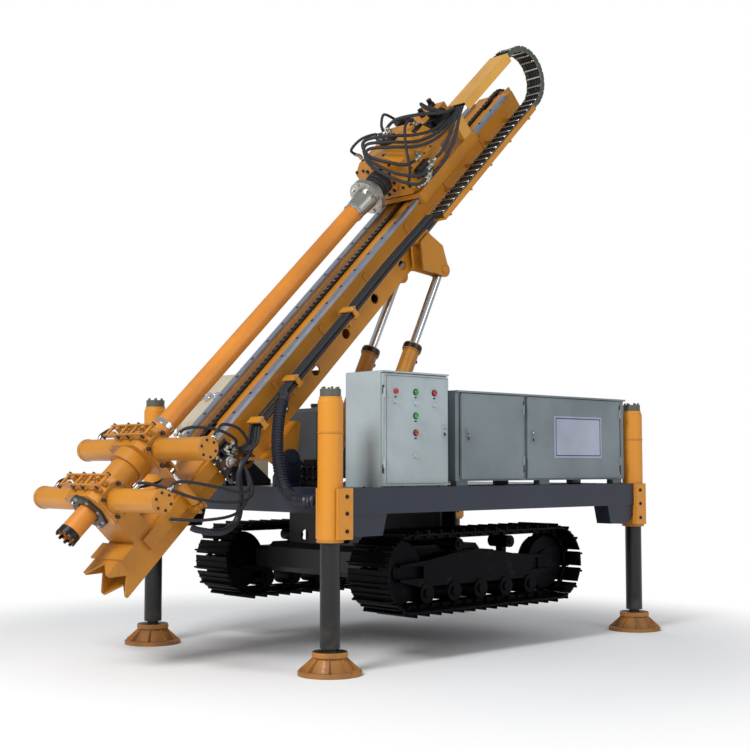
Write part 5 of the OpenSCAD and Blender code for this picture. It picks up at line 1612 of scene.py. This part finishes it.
@dataclass
class Rails:
    """Dark screws sunk in the guide rails."""

    across: float = 0.172
    top: float = 0.525
    start: float = -0.273
    count: int = 21
    pitch: float = 0.200

    def build(self) -> None:
        """Build a countersunk screw with its socket at each hole of both rails."""
        pattern = join(ring(0.0135, 0.0045, (0, 0, -0.006), (0, 0, 0.0012), 20, 0.0008),
                       rod(0.0060, (0, 0, -0.008), (0, 0, -0.004), 6, 0.0004))
        copies = [turned(pattern, (side * self.across, -self.top, self.start + k * self.pitch), (0, -1, 0))
                  for side in (-1, 1) for k in range(self.count)]
        drop(pattern)
        finish(copies, "rail_screws", Finish.DARK_STEEL, "mast", MAST)


@dataclass
class Tank:
    """Sight gauge, drain plug, filler cap and cover bolts of the oil tank."""

    face: float = -1.060
    middle_x: float = -0.840
    low_y: float = -0.380
    high_y: float = 0.780
    low: float = 1.245
    top: float = 1.825

    def build(self) -> None:
        """Build the gauge on the outer side and the fittings on the top."""
        y = self.high_y - 0.140
        gauge = [block((0.012, 0.046, 0.300), (self.face - 0.006, y, self.low + 0.300), 0.003),
                 block((0.004, 0.060, 0.020), (self.face - 0.002, y, self.low + 0.300), 0.001, 1)]
        gauge += [rod(0.012, (self.face - 0.010, y, z), (self.face - 0.018, y, z), 6, 0.001)
                  for z in (self.low + 0.170, self.low + 0.430)]
        finish(gauge, "tank_gauge_frame", Finish.DARK_STEEL, "base", MACHINE)
        glass = rod(0.008, (self.face - 0.014, y, self.low + 0.185), (self.face - 0.014, y, self.low + 0.415), 16,
                    0.001)
        finish(glass, "tank_gauge_tube", Finish.CHROME, "base", MACHINE)
        x, cap_y, cover_y = self.middle_x, self.low_y + 0.200, self.high_y - 0.250
        drain_y, drain_z = self.low_y + 0.120, self.low + 0.060
        cap = [ring(0.0605, 0.0480, (x, cap_y, self.top + 0.020), (x, cap_y, self.top + 0.042), 12, 0.002),
               ring(0.0660, 0.0560, (x, cover_y, self.top + 0.048), (x, cover_y, self.top + 0.066), 36, 0.002),
               rod(0.020, (self.face - 0.001, drain_y, drain_z), (self.face - 0.016, drain_y, drain_z), 6, 0.002)]
        finish(cap, "tank_caps", Finish.DARK_STEEL, "base", MACHINE)
        rim = [((x + c, cover_y + d, self.top + 0.020), (0, 0, 1)) for c, d in around(0.092, 8)]
        bolts("tank_cover_bolts", 0.0085, rim, Finish.ZINC, "base", MACHINE)


@dataclass
class Deck:
    """Bolts along the deck's sides."""

    half: float = 1.110
    long: float = 3.140
    top: float = 1.205
    inset: float = 0.022
    margin: float = 0.14
    count: int = 9

    def build(self) -> None:
        """Build the rows of plate bolts on the deck's top."""
        x, reach = self.half - self.inset, self.long - 2 * self.margin
        spots = [((side * x, -reach / 2 + k * reach / (self.count - 1) + MACHINE_Y, self.top), (0, 0, 1))
                 for k in range(self.count) for side in (-1, 1)]
        bolts("deck_bolts", 0.010, spots, Finish.DARK_STEEL, "base")


@dataclass
class Studio:
    """Camera, floor and soft light."""

    lens: float = 61.80
    sensor: float = 36.0
    eye: Point = (7.3905, -7.2626 + MACHINE_Y, 1.3566)
    look: Point = (-0.7265, 0.6839, 0.0697)
    aim: Point = (0.0, 0.0, 1.6)
    lamps: tuple[tuple[str, Point, float, float], ...] = (
        ("key", (2.2, -8.0, 7.0), 3.0, 680.0), ("fill", (8.5, 1.5, 4.5), 4.0, 125.0),
        ("back", (-6.0, 6.0, 6.0), 5.0, 140.0))
    sky: Colour = (0.93, 0.96, 1.0)
    sky_power: float = 0.40
    floor: float = 60.0
    fade: tuple[float, float] = (2.6, 4.6)

    def build(self) -> None:
        """Build the camera, the floor, the lamps and the world."""
        camera = bpy.data.objects.new("camera", bpy.data.cameras.new("camera"))
        bpy.context.scene.collection.objects.link(camera)
        camera.data.lens, camera.data.sensor_width = self.lens, self.sensor
        camera.data.clip_end = 200.0
        camera.location = self.eye
        camera.rotation_mode = "QUATERNION"
        camera.rotation_quaternion = Vector(self.look).to_track_quat("-Z", "Y")
        bpy.context.scene.camera = camera
        self._floor()
        for lamp in self.lamps:
            self._light(*lamp)
        self._world()
        bpy.context.scene.view_settings.view_transform = "Standard"

    def _light(self, name: str, spot: Point, size: float, power: float) -> None:
        """One soft square lamp that looks at the rig.

        Args:
            name: the lamp's name.
            spot: where it hangs.
            size: length of its sides.
            power: its power in watts.
        """
        lamp = bpy.data.lights.new(name, "AREA")
        lamp.shape, lamp.size, lamp.energy = "SQUARE", size, power
        holder = bpy.data.objects.new(name, lamp)
        bpy.context.scene.collection.objects.link(holder)
        holder.location = spot
        holder.rotation_mode = "QUATERNION"
        holder.rotation_quaternion = (Vector(self.aim) - Vector(spot)).to_track_quat("-Z", "Y")

    def _floor(self) -> None:
        """A pale floor that fades to white round the rig's shadow."""
        bpy.ops.object.select_all(action="DESELECT")
        bpy.ops.mesh.primitive_circle_add(vertices=96, radius=self.floor, fill_type="NGON", location=(0, 0, 0))
        floor = bpy.context.object
        floor.name = "floor"
        p = Palette("floor_white")
        p.coat(Base_Color=p.mix(p.noise(3.0, 2.0), (0.96, 0.96, 0.96), (0.97, 0.97, 0.97)), Roughness=0.9,
               Specular_IOR_Level=0.0)
        reach = p.node("ShaderNodeVectorMath", {"operation": "LENGTH"}, {0: p.place}).outputs["Value"]
        glow = p.node("ShaderNodeEmission", None, {"Color": (1.0, 1.0, 1.0), "Strength": 1.0}).outputs[0]
        both = p.node("ShaderNodeMixShader", None, {
            0: Shade(p, reach).ramp(*self.fade), 1: p.shader.outputs[0], 2: glow}).outputs[0]
        p.feed(p.output.inputs["Surface"], both)
        floor.data.materials.append(p.material)

    def _world(self) -> None:
        """White surroundings; a little softer as light than as background."""
        world = bpy.data.worlds.new("world")
        bpy.context.scene.world = world
        world.use_nodes = True
        nodes = Nodes(world.node_tree)
        rays = nodes.node("ShaderNodeLightPath").outputs
        seen = nodes.node("ShaderNodeMath", {"operation": "MAXIMUM"}, {
            0: rays["Is Camera Ray"], 1: rays["Is Transmission Ray"]}).outputs[0]
        light = nodes.node("ShaderNodeBackground", None, {"Color": self.sky, "Strength": self.sky_power}).outputs[0]
        white = nodes.node("ShaderNodeBackground", None, {"Color": (1.0, 1.0, 1.0), "Strength": 1.0}).outputs[0]
        both = nodes.node("ShaderNodeMixShader", None, {0: seen, 1: light, 2: white}).outputs[0]
        nodes.node("ShaderNodeOutputWorld", None, {"Surface": both})


def main() -> None:
    """Build every sub-assembly in order."""
    logging.basicConfig(level=logging.INFO, format="%(name)s %(message)s")
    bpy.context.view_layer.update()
    Studio().build()
    Frame().dress()
    tracks = Tracks()
    tracks.build("left")
    tracks.build("right")
    ChainRun().build()
    for assembly in (ControlBox(), PowerCabinet(), MastHoses(), Clamps(), Head(), Jacks(), Doors(), Console(),
                     Cylinders(), Rails(), Tank(), Deck()):
        assembly.build()


if __name__ == "__main__":
    main()
